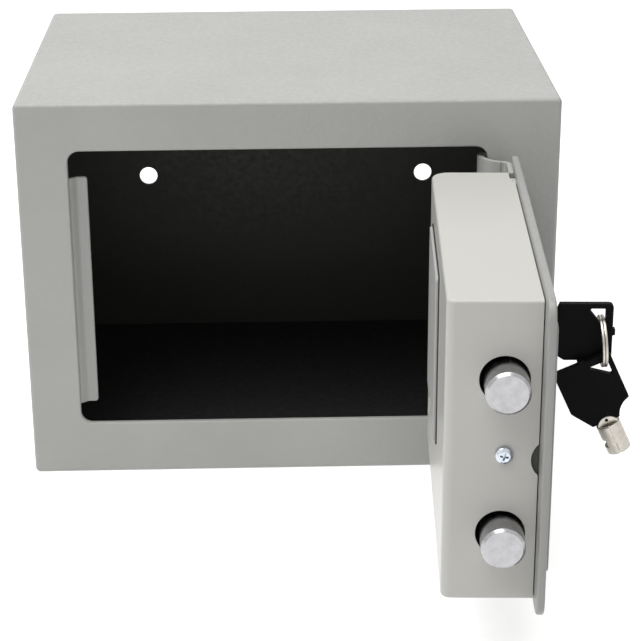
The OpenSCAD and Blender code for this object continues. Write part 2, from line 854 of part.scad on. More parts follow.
module solenoid() {
    ear = 6;
    color([0.7, 0.62, 0.3])
        on_door()
            difference() {
                union() {
                    translate([coil_x - coil_w / 2, plate_y + 0.4, coil_z0])
                        cube([coil_w, 14.4, coil_h]);
                    translate([coil_x - coil_w / 2, plate_y, coil_z0 + coil_h - 0.1])
                        cube([coil_w, 1.5, ear + 0.1]);
                }
                translate([coil_x, plunger_y, coil_z0 - 1])
                    cylinder(h = coil_h + 2, r = plunger_d / 2 + 0.1);
                for (side = [-1, 1])
                    rod_y(coil_x + side * 6, coil_z0 + coil_h + 3, plate_y - 1, plate_y + 3, 1.6);
            }
}

module solenoid_screws() {
    color([0.75, 0.75, 0.75])
        on_door()
            for (side = [-1, 1]) {
                rod_y(coil_x + side * 6, coil_z0 + coil_h + 3, plate_y, plate_y + 1.6, 1.5);
                rod_y(coil_x + side * 6, coil_z0 + coil_h + 3, plate_y + 1.5, plate_y + 3, 2.7);
            }
}

module solenoid_plunger() {
    color([0.75, 0.75, 0.75])
        on_door()
            translate([coil_x, plunger_y, carrier_z1 + 1]) {
                cylinder(h = coil_h + 8, r = plunger_d / 2);
                translate([0, 0, coil_h + 7]) cylinder(h = 2, r = 4);
            }
}

// ---- Lock and keys ----

module lock_housing() {
    color([0.78, 0.78, 0.8])
        on_door()
            difference() {
                union() {
                    rod_y(lock_x, lock_z, lock_face_y, panel_y, lock_flange_d / 2);
                    rod_y(lock_x, lock_z, panel_y - 1, lock_end_y, lock_d / 2);
                }
                rod_y(lock_x, lock_z, lock_face_y - 1, lock_end_y + 1, plug_d / 2 + shaft_gap);
            }
}

module lock_nut() {
    color([0.75, 0.75, 0.75])
        on_door()
            difference() {
                translate([lock_x, plate_y, lock_z])
                    rotate([-90, 0, 0]) cylinder(h = nut_t, r = nut_af / 2 / cos(30), $fn = 6);
                rod_y(lock_x, lock_z, plate_y - 1, plate_y + nut_t + 1, lock_d / 2 + shaft_gap);
            }
}

// The plug has a ring-shaped keyway for the tube of the key.
module lock_plug() {
    color([0.7, 0.7, 0.72])
        on_door()
            difference() {
                rod_y(lock_x, lock_z, lock_face_y + 0.4, lock_end_y + 0.2, plug_d / 2);
                difference() {
                    rod_y(lock_x, lock_z, lock_face_y - 1, tube_end_y + 0.4, tube_d / 2 + 0.15);
                    rod_y(lock_x, lock_z, lock_face_y - 2, tube_end_y + 1,
                        tube_d / 2 - tube_wall - 0.15);
                }
            }
}

module lock_cam() {
    cam_l = 15;
    color([0.62, 0.62, 0.6])
        on_door()
            plate_xz(lock_end_y + 0.2, 1.5) {
                translate([lock_x, lock_z]) circle(r = 6);
                translate([lock_x - 4, lock_z]) square([8, cam_l]);
            }
}

// Key head as a plate in the plane of the key's axis, from its neck at u = 0 to its far end, with
// its ring hole towards +v. The neck is scooped out on that side and cut slanting on the other.
module head_outline() {
    neck = 6;
    side_l = 18.5;
    scoop_r = 8.8;
    far_u = head_l - hole_end;
    hole_v = head_w / 2 - hole_side;
    difference() {
        union() {
            translate([0, head_r - head_w / 2]) square([head_l, head_w - 2 * head_r]);
            translate([0, -head_w / 2]) square([head_l - head_r, head_w]);
            for (side = [-1, 1])
                translate([head_l - head_r, side * (head_w / 2 - head_r)]) circle(r = head_r);
            translate([head_l - 1, -1.4]) square([2, 2.8]);
        }
        translate([-2.2, head_w / 2 + 2.1]) circle(r = scoop_r);
        polygon([[-1, -neck], [0, -neck], [head_l - side_l, -head_w / 2],
            [head_l - side_l, -head_w], [-1, -head_w]]);
        polygon([[far_u, hole_v], [far_u - hole_long, hole_v], [far_u, hole_v - hole_across]]);
    }
}

module key_head() {
    color([0.06, 0.06, 0.07])
        on_door()
            translate([lock_x, head_y, lock_z])
                rotate([90, 0, -90])
                    translate([0, 0, -head_t / 2])
                        linear_extrude(head_t) head_outline();
}

module key_tube() {
    color([0.8, 0.8, 0.8])
        on_door()
            difference() {
                rod_y(lock_x, lock_z, head_y, tube_end_y, tube_d / 2);
                rod_y(lock_x, lock_z, head_y + tube_base, tube_end_y + 1, tube_d / 2 - tube_wall);
            }
}

// Carries what is drawn in the ring's own plane, from its top down, to where the ring hangs.
module on_ring() {
    translate([lock_x, ring_y, ring_z])
        rotate([-ring_tilt, 0, 0])
            children();
}

// Two turns of flat wire, lying side by side.
module split_ring() {
    joint = 0.4;
    color([0.8, 0.8, 0.82])
        on_door()
            on_ring()
                translate([0, 0, -ring_r])
                    rotate([90, 0, 0])
                        rotate_extrude() {
                            for (side = [-1, 1])
                                translate([ring_r, side * ring_width / 4])
                                    square([ring_wire, ring_width / 2 - 0.1], center = true);
                            translate([ring_r, 0])
                                square([ring_wire - joint, joint], center = true);
                        }
}

// Carries a key drawn from its neck along +X to where the spare hangs, turned over.
module on_spare() {
    on_ring()
        translate([-spare_shift, 0, -spare_drop])
            rotate([ring_tilt, 0, 0])
                rotate([90, 0, -90])
                    rotate([0, 0, 90 + spare_tilt])
                        translate([in_spare[0] - head_l, head_w / 2 - in_spare[1], 0])
                            mirror([0, 1, 0])
                                children();
}

module spare_key_head() {
    color([0.06, 0.06, 0.07])
        on_door()
            on_spare()
                translate([0, 0, -head_t / 2]) linear_extrude(head_t) head_outline();
}

module spare_key_tube() {
    color([0.8, 0.8, 0.8])
        on_door()
            on_spare()
                difference() {
                    rotate([0, -90, 0]) cylinder(h = tube_l, r = tube_d / 2);
                    translate([-tube_base, 0, 0])
                        rotate([0, -90, 0]) cylinder(h = tube_l, r = tube_d / 2 - tube_wall);
                }
}

// ---- Reset button ----

module reset_button() {
    color([0.6, 0.1, 0.1])
        on_door() {
            rod_y(reset_x, reset_z, box_in_y - 1.5, box_y + reset_out, reset_d / 2);
            rod_y(reset_x, reset_z, box_in_y - 1.6, box_in_y - 0.4, reset_d / 2 + 1.2);
        }
}

module reset_switch() {
    color([0.1, 0.1, 0.1])
        on_door()
            difference() {
                translate([reset_x - 7, box_in_y - 9, reset_z - 6]) cube([14, 9, 12]);
                rod_y(reset_x, reset_z, box_in_y - 3, box_in_y + 1, reset_d / 2 + 1.5);
            }
}

// ---- Wiring ----

// A lead through a list of points, as straight runs with round bends.
module lead(points, r) {
    for (i = [0:len(points) - 2]) {
        run = points[i + 1] - points[i];
        span = norm(run);
        translate(points[i])
            rotate([0, acos(run[2] / span), atan2(run[1], run[0])]) cylinder(h = span, r = r);
        if (i > 0) translate(points[i]) sphere(r = r);
    }
}

// Leads from the battery case and from the solenoid to the back of the keypad board.
module wiring() {
    lead_r = 0.7;
    back_y = board_y + board_t;
    case_side = case_x - case_w / 2;
    case_run_x = pad_x - window_w / 2 + 4;
    case_run_y = box_y - 8;
    case_run_z = case_z - 20;
    coil_side = coil_x - coil_w / 2;
    coil_run_x = coil_side - 1.5;
    coil_run_z = coil_z0 + 9;
    color([0.7, 0.15, 0.1])
        on_door() {
            lead([[case_side, case_run_y, case_run_z], [case_run_x, case_run_y, case_run_z],
                [case_run_x, back_y, case_run_z]], lead_r);
            lead([[coil_side, plunger_y, coil_run_z], [coil_run_x, plunger_y, coil_run_z],
                [coil_run_x, back_y, coil_run_z]], lead_r);
        }
}

cabinet_shell();
back_panel();
front_frame();
strike_flange();
floor_mat();
hinge_tabs();
hinge_pin();
hinge_arm();
door_plate();
door_box();
box_bracket();
box_screw();
front_panel();
status_lenses();
keypad_board();
button(0);  // button_1
button(1);  // button_2
button(2);  // button_3
button(3);  // button_4
button(4);  // button_5
button(5);  // button_6
button(6);  // button_7
button(7);  // button_8
button(8);  // button_9
button(9);  // button_clear
button(10);  // button_0
button(11);  // button_enter
battery_case();
battery_contacts();
battery_cells();
battery_cover();
bolt_carrier();
bolt(mid_z + bolt_pitch / 2);  // upper_bolt
bolt(mid_z - bolt_pitch / 2);  // lower_bolt
guide_screws();
knob();
knob_shaft();
knob_bush();
drive_cam();
solenoid();
solenoid_screws();
solenoid_plunger();
lock_housing();
lock_nut();
lock_plug();
lock_cam();
key_head();
key_tube();
split_ring();
spare_key_head();
spare_key_tube();
reset_button();
reset_switch();
wiring();
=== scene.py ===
import json
from math import asin, atan2, cos, degrees, pi, radians, sin, tan

import bmesh
import bpy
from bpy.props import FloatProperty, FloatVectorProperty, PointerProperty
from mathutils import Matrix, Vector


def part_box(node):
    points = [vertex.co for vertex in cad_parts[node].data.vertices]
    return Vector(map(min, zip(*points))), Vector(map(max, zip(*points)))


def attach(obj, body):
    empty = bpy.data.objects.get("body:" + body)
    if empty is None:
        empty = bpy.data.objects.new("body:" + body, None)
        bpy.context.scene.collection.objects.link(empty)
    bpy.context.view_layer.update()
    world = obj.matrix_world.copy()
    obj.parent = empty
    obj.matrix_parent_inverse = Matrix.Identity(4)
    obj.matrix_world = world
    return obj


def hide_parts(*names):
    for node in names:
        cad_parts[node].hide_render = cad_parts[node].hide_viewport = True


bl_info = {
    "name": "Keypad Safe",
    "version": (1, 0, 0),
    "blender": (4, 5, 0),
    "location": "View3D > Sidebar > Keypad Safe",
    "description": "Builds the looks of a small steel safe with a keypad door, round bolts and tubular keys",
    "category": "Add Mesh",
}

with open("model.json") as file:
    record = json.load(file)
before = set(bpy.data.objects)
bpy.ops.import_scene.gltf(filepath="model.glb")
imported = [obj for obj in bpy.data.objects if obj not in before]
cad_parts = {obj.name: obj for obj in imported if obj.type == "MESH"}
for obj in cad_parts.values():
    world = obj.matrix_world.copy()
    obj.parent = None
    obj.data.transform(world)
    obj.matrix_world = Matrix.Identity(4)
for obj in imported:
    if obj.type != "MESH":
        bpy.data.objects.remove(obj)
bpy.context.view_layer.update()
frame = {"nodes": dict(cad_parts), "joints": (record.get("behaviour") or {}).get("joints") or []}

# Sizes are written in millimetres, and MM turns them into metres. The settings hold metres.
MM = 0.001
JOINTS = {joint["name"]: joint for joint in frame["joints"]}
# An edge or face this near to a plane lies on it
NEAR = 0.01
# Doubled points are at most this far apart
MERGE = 0.002

# Door pieces are modelled with the door shut, and SWING then opens it about the hinge pin.
PIN = Vector(JOINTS["door_swing"]["pos_m"])
DOOR_OPEN = -radians(JOINTS["door_swing"]["range_deg"][0])
SWING = Matrix.Translation(PIN) @ Matrix.Rotation(DOOR_OPEN, 4, "Z") @ Matrix.Translation(-PIN)


def shut_point(point):
    """A point of the frame, in millimetres, with the door swung shut."""
    return SWING.inverted() @ Vector(point) / MM


def shut_box(node):
    """Lowest and highest corner of a CAD node on the door, in millimetres, with the door shut."""
    points = [shut_point(vertex.co) for vertex in frame["nodes"][node].data.vertices]
    low = Vector([min(point[i] for point in points) for i in range(3)])
    high = Vector([max(point[i] for point in points) for i in range(3)])
    return low, high


def still_box(node):
    """Lowest and highest corner of a CAD node on the cabinet, in millimetres."""
    low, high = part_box(node)
    return low / MM, high / MM


def midpoint(box):
    return (box[0] + box[1]) / 2


def centre_of(node):
    """Middle of a CAD node on the door, in millimetres, with the door shut."""
    return midpoint(shut_box(node))


# ---- Settings ----

def length(name, description, millimetres):
    return FloatProperty(name=name, description=description, default=millimetres * MM,
                         min=0, precision=5, unit="LENGTH", subtype="DISTANCE")


def colour(name, description, red, green, blue):
    return FloatVectorProperty(name=name, description=description, default=(red, green, blue),
                               min=0, max=1, size=3, subtype="COLOR")


class CabinetSettings(bpy.types.PropertyGroup):
    """Sizes and colours of the cabinet"""
    sheet: length("Sheet", "Thickness of the walls", 1.5)
    edge_radius: length("Edge radius", "Bend radius of the four long edges", 2.2)
    front_radius: length("Front radius", "Rounding where the walls meet the front", 1.7)
    opening_radius: length("Opening radius", "Corner radius of the door opening", 5)
    lip_radius: length("Lip radius", "Rounding of the edge of the opening", 0.8)
    paint: colour("Paint", "Warm grey paint of the outside", 0.455, 0.46, 0.438)
    inside: colour("Inside", "Near black paint of the inside", 0.052, 0.051, 0.046)
    mat: colour("Mat", "Felt mat on the floor", 0.018, 0.018, 0.018)


class DoorSettings(bpy.types.PropertyGroup):
    """Sizes and colours of the door"""
    plate_edge: length("Plate edge", "Rounding of the edge of the door plate", 0.9)
    plate_corner: length("Plate corner", "Corner radius of the door plate", 7)
    box_edge: length("Box edge", "Bend radius of the top and bottom of the box", 1.3)
    hinge_bend: length("Hinge bend", "Bend radius of the box near the hinge", 7)
    bolt_bend: length("Bolt bend", "Bend radius of the box near the bolts", 3.5)
    bolt_gap: length("Bolt gap", "Clearance round a bolt where it leaves the box", 1)
    paint: colour("Box paint", "Off white paint of the box", 0.62, 0.61, 0.575)
    panel: colour("Panel", "Silver grey plastic of the front panel", 0.3, 0.3, 0.295)
    button: colour("Buttons", "Dark plastic of the keypad", 0.03, 0.031, 0.034)
    digit: colour("Digits", "Print on the keypad and the knob", 0.75, 0.75, 0.73)


class KeySettings(bpy.types.PropertyGroup):
    """Sizes and colours of the keys and their ring"""
    neck: length("Neck", "Half width of a key's head where its tube starts", 6)
    side: length("Side", "Length of a key's head on its slanting side", 18.5)
    corner: length("Corner", "Corner radius of a key's head", 1.6)
    edge: length("Edge", "Rounding of the edges of a key's head", 0.6)
    plastic: colour("Plastic", "Black plastic of the heads", 0.004, 0.004, 0.0045)
    nickel: colour("Nickel", "Satin nickel of the tubes and the ring", 0.52, 0.49, 0.44)


class StageSettings(bpy.types.PropertyGroup):
    """Camera, floor and lamps"""
    floor_size: length("Floor", "Side of the floor", 8000)
    lens: FloatProperty(name="Lens", description="Focal length on a 36 mm wide sensor",
                        default=108.3, min=10, unit="CAMERA")
    daylight: FloatProperty(name="Daylight", description="Strength of the light from all round",
                            default=0.265, min=0)
    overhead: FloatProperty(name="Overhead", description="Power of the lamp overhead",
                            default=26, min=0, unit="POWER")
    front: FloatProperty(name="Front", description="Power of the lamp in front",
                         default=1.15, min=0, unit="POWER")


# ---- Modelling helpers ----

def only(piece):
    """Selects one object alone and makes it the active one."""
    bpy.ops.object.select_all(action="DESELECT")
    piece.select_set(True)
    bpy.context.view_layer.objects.active = piece
    return piece


def settle(piece):
    """Applies an object's place, so that it sits at the origin with its place in its mesh."""
    only(piece)
    bpy.ops.object.transform_apply(location=True, rotation=True, scale=True)
    return piece


def modify(piece, kind, **values):
    """Adds a modifier and applies it."""
    only(piece)
    modifier = piece.modifiers.new(kind.title(), kind)
    for key, value in values.items():
        setattr(modifier, key, value)
    bpy.ops.object.modifier_apply(modifier=modifier.name)
    return piece


def pick(piece, kind, test):
    """Opens a piece for editing with the edges or faces selected that pass a test.
    The test takes the middle in millimetres, and an edge's direction or a face's normal."""
    only(piece)
    bpy.ops.object.mode_set(mode="EDIT")
    bpy.ops.mesh.select_mode(type=kind)
    bpy.ops.mesh.select_all(action="DESELECT")
    mesh = bmesh.from_edit_mesh(piece.data)
    if kind == "EDGE":
        for edge in mesh.edges:
            start, end = (vertex.co for vertex in edge.verts)
            edge.select_set(bool(test((start + end) / 2 / MM, (end - start).normalized())))
    else:
        for face in mesh.faces:
            face.select_set(bool(test(face.calc_center_median() / MM, face.normal)))
    mesh.select_flush_mode()
    bmesh.update_edit_mesh(piece.data)


def open_all(piece, kind="FACE"):
    """Opens a piece for editing with all its edges or faces selected."""
    pick(piece, kind, lambda middle, direction: True)


def close_edit():
    bpy.ops.object.mode_set(mode="OBJECT")


def bend_edges(piece, radius, segments, test):
    """Rounds the edges that pass a test."""
    pick(piece, "EDGE", test)
    bpy.ops.mesh.bevel(offset=radius * MM, segments=segments, profile=0.5)
    close_edit()
    return piece


def round_edges(piece, radius, segments=3, angle=40):
    """Rounds every edge that is sharper than the angle."""
    return modify(piece, "BEVEL", width=radius * MM, segments=segments, limit_method="ANGLE",
                  angle_limit=radians(angle), miter_outer="MITER_ARC")


def tidy_mesh(piece):
    """Merges doubled points and turns every face outwards."""
    open_all(piece)
    bpy.ops.mesh.select_all(action="SELECT")
    bpy.ops.mesh.remove_doubles(threshold=MERGE * MM)
    bpy.ops.mesh.dissolve_degenerate(threshold=MERGE / 2 * MM)
    bpy.ops.mesh.delete_loose(use_verts=True, use_edges=True)
    bpy.ops.mesh.select_all(action="SELECT")
    bpy.ops.mesh.normals_make_consistent(inside=False)
    close_edit()
    return piece


def smooth(piece, angle=40):
    """Smooth shading over the bends, flat shading over the flats."""
    only(piece)
    bpy.ops.object.shade_smooth_by_angle(angle=radians(angle))
    return modify(piece, "WEIGHTED_NORMAL", keep_sharp=True, weight=80)


def cube(name, low, high):
    """A box from its lowest to its highest corner."""
    low, high = Vector(low), Vector(high)
    bpy.ops.object.select_all(action="DESELECT")
    bpy.ops.mesh.primitive_cube_add(size=1, location=(low + high) / 2 * MM, scale=(high - low) * MM)
    piece = bpy.context.object
    piece.name = name
    return settle(piece)


def rounded(corners, steps=6):
    """Points round a closed outline. Each corner is (across, up, radius)."""
    points = []
    for i, (across, up, radius) in enumerate(corners):
        here = Vector((across, up))
        if not radius:
            points.append(here)
            continue
        back = (Vector(corners[i - 1][:2]) - here).normalized()
        ahead = (Vector(corners[(i + 1) % len(corners)][:2]) - here).normalized()
        half = back.angle(ahead) / 2
        centre = here + (back + ahead).normalized() * radius / sin(half)
        first = here + back * radius / tan(half) - centre
        last = here + ahead * radius / tan(half) - centre
        bend = pi - 2 * half
        for step in range(steps + 1):
            share = step / steps
            spoke = (first * sin((1 - share) * bend) + last * sin(share * bend)) / sin(bend)
            points.append(centre + spoke)
    return points


def rectangle(low, high, radius):
    """Points round an upright rounded rectangle between two corner points."""
    return rounded([(low.x, low.z, radius), (high.x, low.z, radius),
                    (high.x, high.z, radius), (low.x, high.z, radius)])


def disc(across, up, radius, count=64):
    """Points round a circle."""
    return [Vector((across + radius * cos(2 * pi * i / count), up + radius * sin(2 * pi * i / count)))
            for i in range(count)]


def outline(name, points, place, filled=True):
    """A flat face or ring of edges whose points are set on an outline by a place function."""
    bpy.ops.object.select_all(action="DESELECT")
    bpy.ops.mesh.primitive_circle_add(vertices=len(points), radius=MM,
                                      fill_type="NGON" if filled else "NOTHING")
    piece = bpy.context.object
    piece.name = name
    for vertex, (across, up) in zip(piece.data.vertices, points):
        vertex.co = Vector(place(across, up)) * MM
    return piece


AXES = {"X": Vector((1, 0, 0)), "Y": Vector((0, 1, 0)), "Z": Vector((0, 0, 1))}


def prism(name, points, axis, low, high):
    """An outline drawn square to an axis, extruded along it from low to high."""
    place = {"X": lambda across, up: (low, across, up),
             "Y": lambda across, up: (across, low, up),
             "Z": lambda across, up: (across, up, low)}[axis]
    piece = outline(name, points, place)
    open_all(piece)
    travel = [share * (high - low) * MM for share in AXES[axis]]
    bpy.ops.mesh.extrude_region_move(TRANSFORM_OT_translate={"value": travel})
    close_edit()
    return tidy_mesh(piece)


def turned(name, points, axis, centre, steps=72):
    """A turned piece: its outline (along the axis, radius) is spun about the axis."""
    centre, along = Vector(centre), AXES[axis]
    out = AXES["X" if axis == "Z" else "Z"]
    base = centre - along * centre.dot(along)
    piece = outline(name, points, lambda a, r: base + along * a + out * r, filled=False)
    open_all(piece, "EDGE")
    bpy.ops.mesh.spin(steps=steps, angle=2 * pi, center=base * MM, axis=along)
    close_edit()
    return tidy_mesh(piece)


def split_at(piece, axis, places):
    """Cuts a piece's faces along planes square to an axis, so that no hole lies inside one face."""
    along = AXES[axis]
    for place in places:
        open_all(piece)
        bpy.ops.mesh.bisect(plane_co=along * place * MM, plane_no=along)
        close_edit()
    return piece


def cutter(points, axis, low, high):
    """A prism that cuts from low to high, with 1 mm to spare at both ends."""
    return prism("cut", points, axis, low - 1, high + 1)


def combine(piece, others, operation="DIFFERENCE"):
    """Cuts the others out of a piece, or joins them to it, and removes them."""
    for other in others:
        modify(piece, "BOOLEAN", operation=operation, solver="EXACT", object=other)
        bpy.data.objects.remove(other)
    return piece


def join(pieces, name):
    """Joins pieces into one object."""
    only(pieces[0])
    for piece in pieces[1:]:
        piece.select_set(True)
    bpy.ops.object.join()
    pieces[0].name = name
    return pieces[0]


def duplicate(piece, name):
    """A copy of a piece with its own mesh."""
    copied = piece.copy()
    copied.data = piece.data.copy()
    copied.name = name
    bpy.context.scene.collection.objects.link(copied)
    return copied


def move(piece, matrix):
    """Carries a piece by a matrix in metres, and applies it."""
    piece.matrix_world = matrix @ piece.matrix_world
    return settle(piece)


def shift(x, y, z):
    return Matrix.Translation(Vector((x, y, z)) * MM)


def turn(angle, axis):
    return Matrix.Rotation(radians(angle), 4, axis)


def softened(name, node, width, segments=2):
    """A copy of a CAD node whose sharp edges are rounded. It stands where the node stands."""
    piece = bpy.data.objects.new(name, frame["nodes"][node].data.copy())
    bpy.context.scene.collection.objects.link(piece)
    piece.data.materials.clear()
    only(piece)
    bpy.ops.mesh.customdata_custom_splitnormals_clear()
    tidy_mesh(piece)
    open_all(piece)
    bpy.ops.mesh.dissolve_limited(angle_limit=radians(0.5))
    close_edit()
    return round_edges(piece, width, segments)


def paint(piece, material, test=None):
    """Gives the whole piece a material, or only the faces that pass a test of middle and normal."""
    if test is None:
        piece.data.materials.clear()
        piece.data.materials.append(material)
        return piece
    index = len(piece.data.materials)
    piece.data.materials.append(material)
    for face in piece.data.polygons:
        if test(face.center / MM, face.normal):
            face.material_index = index
    return piece


def coat(piece, finish, angle=40):
    """Gives the whole piece one finish, and shades it smooth up to an angle."""
    return smooth(paint(piece, FINISH[finish]), angle)


def hang(piece, body, slot, *nodes):
    """Opens a door piece with the door, and fastens it to its body in place of its CAD nodes."""
    return fasten(move(piece, SWING), body, slot, *nodes)


def fasten(piece, body, slot, *nodes):
    """Fastens a piece to its body in place of its CAD nodes."""
    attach(piece, body)
    if nodes:
        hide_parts(*nodes)
    return piece


def refine(name, node, width, finish, body, slot):
    """Stands a copy of a CAD node with softened edges in its place."""
    return fasten(coat(softened(name, node, width), finish), body, slot, node)


def refinish(finish, *nodes):
    """Gives CAD nodes that keep their shape a finish."""
    for node in nodes:
        for material_slot in frame["nodes"][node].material_slots:
            material_slot.material = FINISH[finish]


# ---- Material helpers ----

def add_node(tree, kind, inputs=None, **values):
    """Adds a node. Inputs are values or output sockets, by the name or number of the input."""
    node = tree.nodes.new(kind)
    for key, value in values.items():
        setattr(node, key, value)
    for key, value in (inputs or {}).items():
        if isinstance(value, bpy.types.NodeSocket):
            tree.links.new(value, node.inputs[key])
        else:
            node.inputs[key].default_value = value
    return node


def calculate(tree, operation, *values):
    node = add_node(tree, "ShaderNodeMath", dict(enumerate(values)), operation=operation)
    return node.outputs[0]


def spread(tree, value, low, high, new_low=0.0, new_high=1.0):
    """Stretches the range of a value."""
    inputs = {"Value": value, "From Min": low, "From Max": high, "To Min": new_low, "To Max": new_high}
    return add_node(tree, "ShaderNodeMapRange", inputs).outputs["Result"]


def noise(tree, vector, scale, detail=2.0, roughness=0.5):
    inputs = {"Vector": vector, "Scale": scale, "Detail": detail, "Roughness": roughness}
    return add_node(tree, "ShaderNodeTexNoise", inputs).outputs["Fac"]


def effect(name, inputs, outputs):
    """A new node group with named inputs and outputs, and its input and output nodes."""
    tree = bpy.data.node_groups.new(name, "ShaderNodeTree")
    for label, kind, default in inputs:
        socket = tree.interface.new_socket(name=label, in_out="INPUT", socket_type=kind)
        socket.default_value = default
    for label, kind in outputs:
        tree.interface.new_socket(name=label, in_out="OUTPUT", socket_type=kind)
    return tree, tree.nodes.new("NodeGroupInput").outputs, tree.nodes.new("NodeGroupOutput").inputs


NUMBER, COLOUR, VECTOR = "NodeSocketFloat", "NodeSocketColor", "NodeSocketVector"


def tone_drift():
    """Colour that drifts a little over the surface."""
    tree, given, result = effect(
        "Tone Drift",
        [("Colour", COLOUR, (0.5, 0.5, 0.5, 1)), ("Vector", VECTOR, (0, 0, 0)),
         ("Scale", NUMBER, 20), ("Amount", NUMBER, 0.05)],
        [("Colour", COLOUR)])
    drift = noise(tree, given["Vector"], given["Scale"], 4, 0.6)
    swing = calculate(tree, "MULTIPLY", spread(tree, drift, 0.3, 0.7, -1, 1), given["Amount"])
    factor = calculate(tree, "ADD", swing, 1.0)
    scaled = add_node(tree, "ShaderNodeVectorMath", {0: given["Colour"], "Scale": factor},
                      operation="SCALE")
    tree.links.new(scaled.outputs[0], result["Colour"])
    return tree


def powder_peel():
    """Orange peel of a sprayed powder coat: soft lumps with finer ones on them."""
    tree, given, result = effect(
        "Powder Peel",
        [("Vector", VECTOR, (0, 0, 0)), ("Lump size", NUMBER, 2.5 * MM)],
        [("Height", NUMBER), ("Tone", NUMBER)])
    scale = calculate(tree, "DIVIDE", 1.0, given["Lump size"])
    lumps = noise(tree, given["Vector"], scale, 1.0, 0.4)
    fine = noise(tree, given["Vector"], calculate(tree, "MULTIPLY", scale, 2.7), 1.5, 0.5)
    height = calculate(tree, "MULTIPLY_ADD", fine, 0.35, lumps)
    tree.links.new(height, result["Height"])
    tree.links.new(spread(tree, lumps, 0.35, 0.65), result["Tone"])
    return tree


def brushed_grain():
    """Fine lines along one axis, as the vector given is stretched."""
    tree, given, result = effect(
        "Brushed Grain",
        [("Vector", VECTOR, (0, 0, 0)), ("Scale", NUMBER, 900),
         ("Low", NUMBER, 0.2), ("High", NUMBER, 0.4)],
        [("Height", NUMBER), ("Roughness", NUMBER)])
    lines = noise(tree, given["Vector"], given["Scale"], 3, 0.6)
    tree.links.new(lines, result["Height"])
    tree.links.new(spread(tree, lines, 0.3, 0.7, given["Low"], given["High"]), result["Roughness"])
    return tree


def fabric_pile():
    """Short felted fibres."""
    tree, given, result = effect(
        "Fabric Pile",
        [("Vector", VECTOR, (0, 0, 0)), ("Fibre size", NUMBER, 0.7 * MM)],
        [("Height", NUMBER), ("Tone", NUMBER)])
    scale = calculate(tree, "DIVIDE", 1.0, given["Fibre size"])
    fibres = noise(tree, given["Vector"], scale, 6, 0.75)
    cells = add_node(tree, "ShaderNodeTexVoronoi",
                     {"Vector": given["Vector"], "Scale": calculate(tree, "MULTIPLY", scale, 0.6)})
    height = calculate(tree, "MULTIPLY_ADD", cells.outputs["Distance"], 0.5, fibres)
    tree.links.new(height, result["Height"])
    tree.links.new(spread(tree, fibres, 0.35, 0.7), result["Tone"])
    return tree


def moulded_grain():
    """Fine spark grain of moulded plastic."""
    tree, given, result = effect(
        "Moulded Grain",
        [("Vector", VECTOR, (0, 0, 0)), ("Grain size", NUMBER, 0.5 * MM)],
        [("Height", NUMBER), ("Tone", NUMBER)])
    scale = calculate(tree, "DIVIDE", 1.0, given["Grain size"])
    cells = add_node(tree, "ShaderNodeTexVoronoi", {"Vector": given["Vector"], "Scale": scale},
                     feature="SMOOTH_F1")
    drift = noise(tree, given["Vector"], calculate(tree, "MULTIPLY", scale, 0.3), 3, 0.6)
    tree.links.new(calculate(tree, "ADD", cells.outputs["Distance"], drift), result["Height"])
    tree.links.new(spread(tree, drift, 0.3, 0.7), result["Tone"])
    return tree


EFFECTS = {make.__name__: make()
           for make in (tone_drift, powder_peel, brushed_grain, fabric_pile, moulded_grain)}
# The input of each pattern that takes its size
PATTERNS = {"powder_peel": "Lump size", "fabric_pile": "Fibre size", "moulded_grain": "Grain size"}


def use_effect(tree, name, inputs):
    return add_node(tree, "ShaderNodeGroup", inputs, node_tree=EFFECTS[name]).outputs


def start_material(name, **settings):
    """A material, its tree, its Principled BSDF and its Object coordinates."""
    material = bpy.data.materials.new(name)
    material.use_nodes = True
    tree = material.node_tree
    shader = tree.nodes["Principled BSDF"]
    for key, value in settings.items():
        shader.inputs[key.replace("_", " ")].default_value = value
    place = tree.nodes.new("ShaderNodeTexCoord").outputs["Object"]
    return material, tree, shader, place


def add_tone(tree, shader, place, tint, amount, scale):
    """Base colour that drifts over the surface."""
    tones = use_effect(tree, "tone_drift", {"Colour": (*tint, 1), "Vector": place,
                                            "Scale": scale, "Amount": amount})
    tree.links.new(tones["Colour"], shader.inputs["Base Color"])


def add_bump(tree, shader, height, depth):
    """Bump of a depth in millimetres."""
    bump = add_node(tree, "ShaderNodeBump", {"Height": height, "Distance": depth * MM, "Strength": 1.0})
    tree.links.new(bump.outputs["Normal"], shader.inputs["Normal"])


def textured(name, pattern, tint, size, depth, rough, drift=0.04, drift_scale=18, **settings):
    """A coloured finish with a pattern of a size and depth in millimetres.
    Its roughness runs between two values with the pattern's tone."""
    material, tree, shader, place = start_material(name, **settings)
    add_tone(tree, shader, place, tint, drift, drift_scale)
    grain = use_effect(tree, pattern, {"Vector": place, PATTERNS[pattern]: size * MM})
    tree.links.new(spread(tree, grain["Tone"], 0, 1, *rough), shader.inputs["Roughness"])
    add_bump(tree, shader, grain["Height"], depth)
    return material


def brushed(name, tint, rough, depth, stretch, scale, drift=0.05, drift_scale=60):
    """A metal with fine lines along the axis that is stretched least."""
    material, tree, shader, place = start_material(name, Metallic=1.0)
    mapping = add_node(tree, "ShaderNodeMapping", {"Vector": place, "Scale": stretch})
    lines = use_effect(tree, "brushed_grain", {"Vector": mapping.outputs["Vector"], "Scale": scale,
                                               "Low": rough[0], "High": rough[1]})
    add_tone(tree, shader, place, tint, drift, drift_scale)
    tree.links.new(lines["Roughness"], shader.inputs["Roughness"])
    add_bump(tree, shader, lines["Height"], depth)
    return material


LENSES = {"lens_green": (0.05, 0.4, 0.08), "lens_amber": (0.6, 0.3, 0.02), "lens_red": (0.5, 0.03, 0.02)}


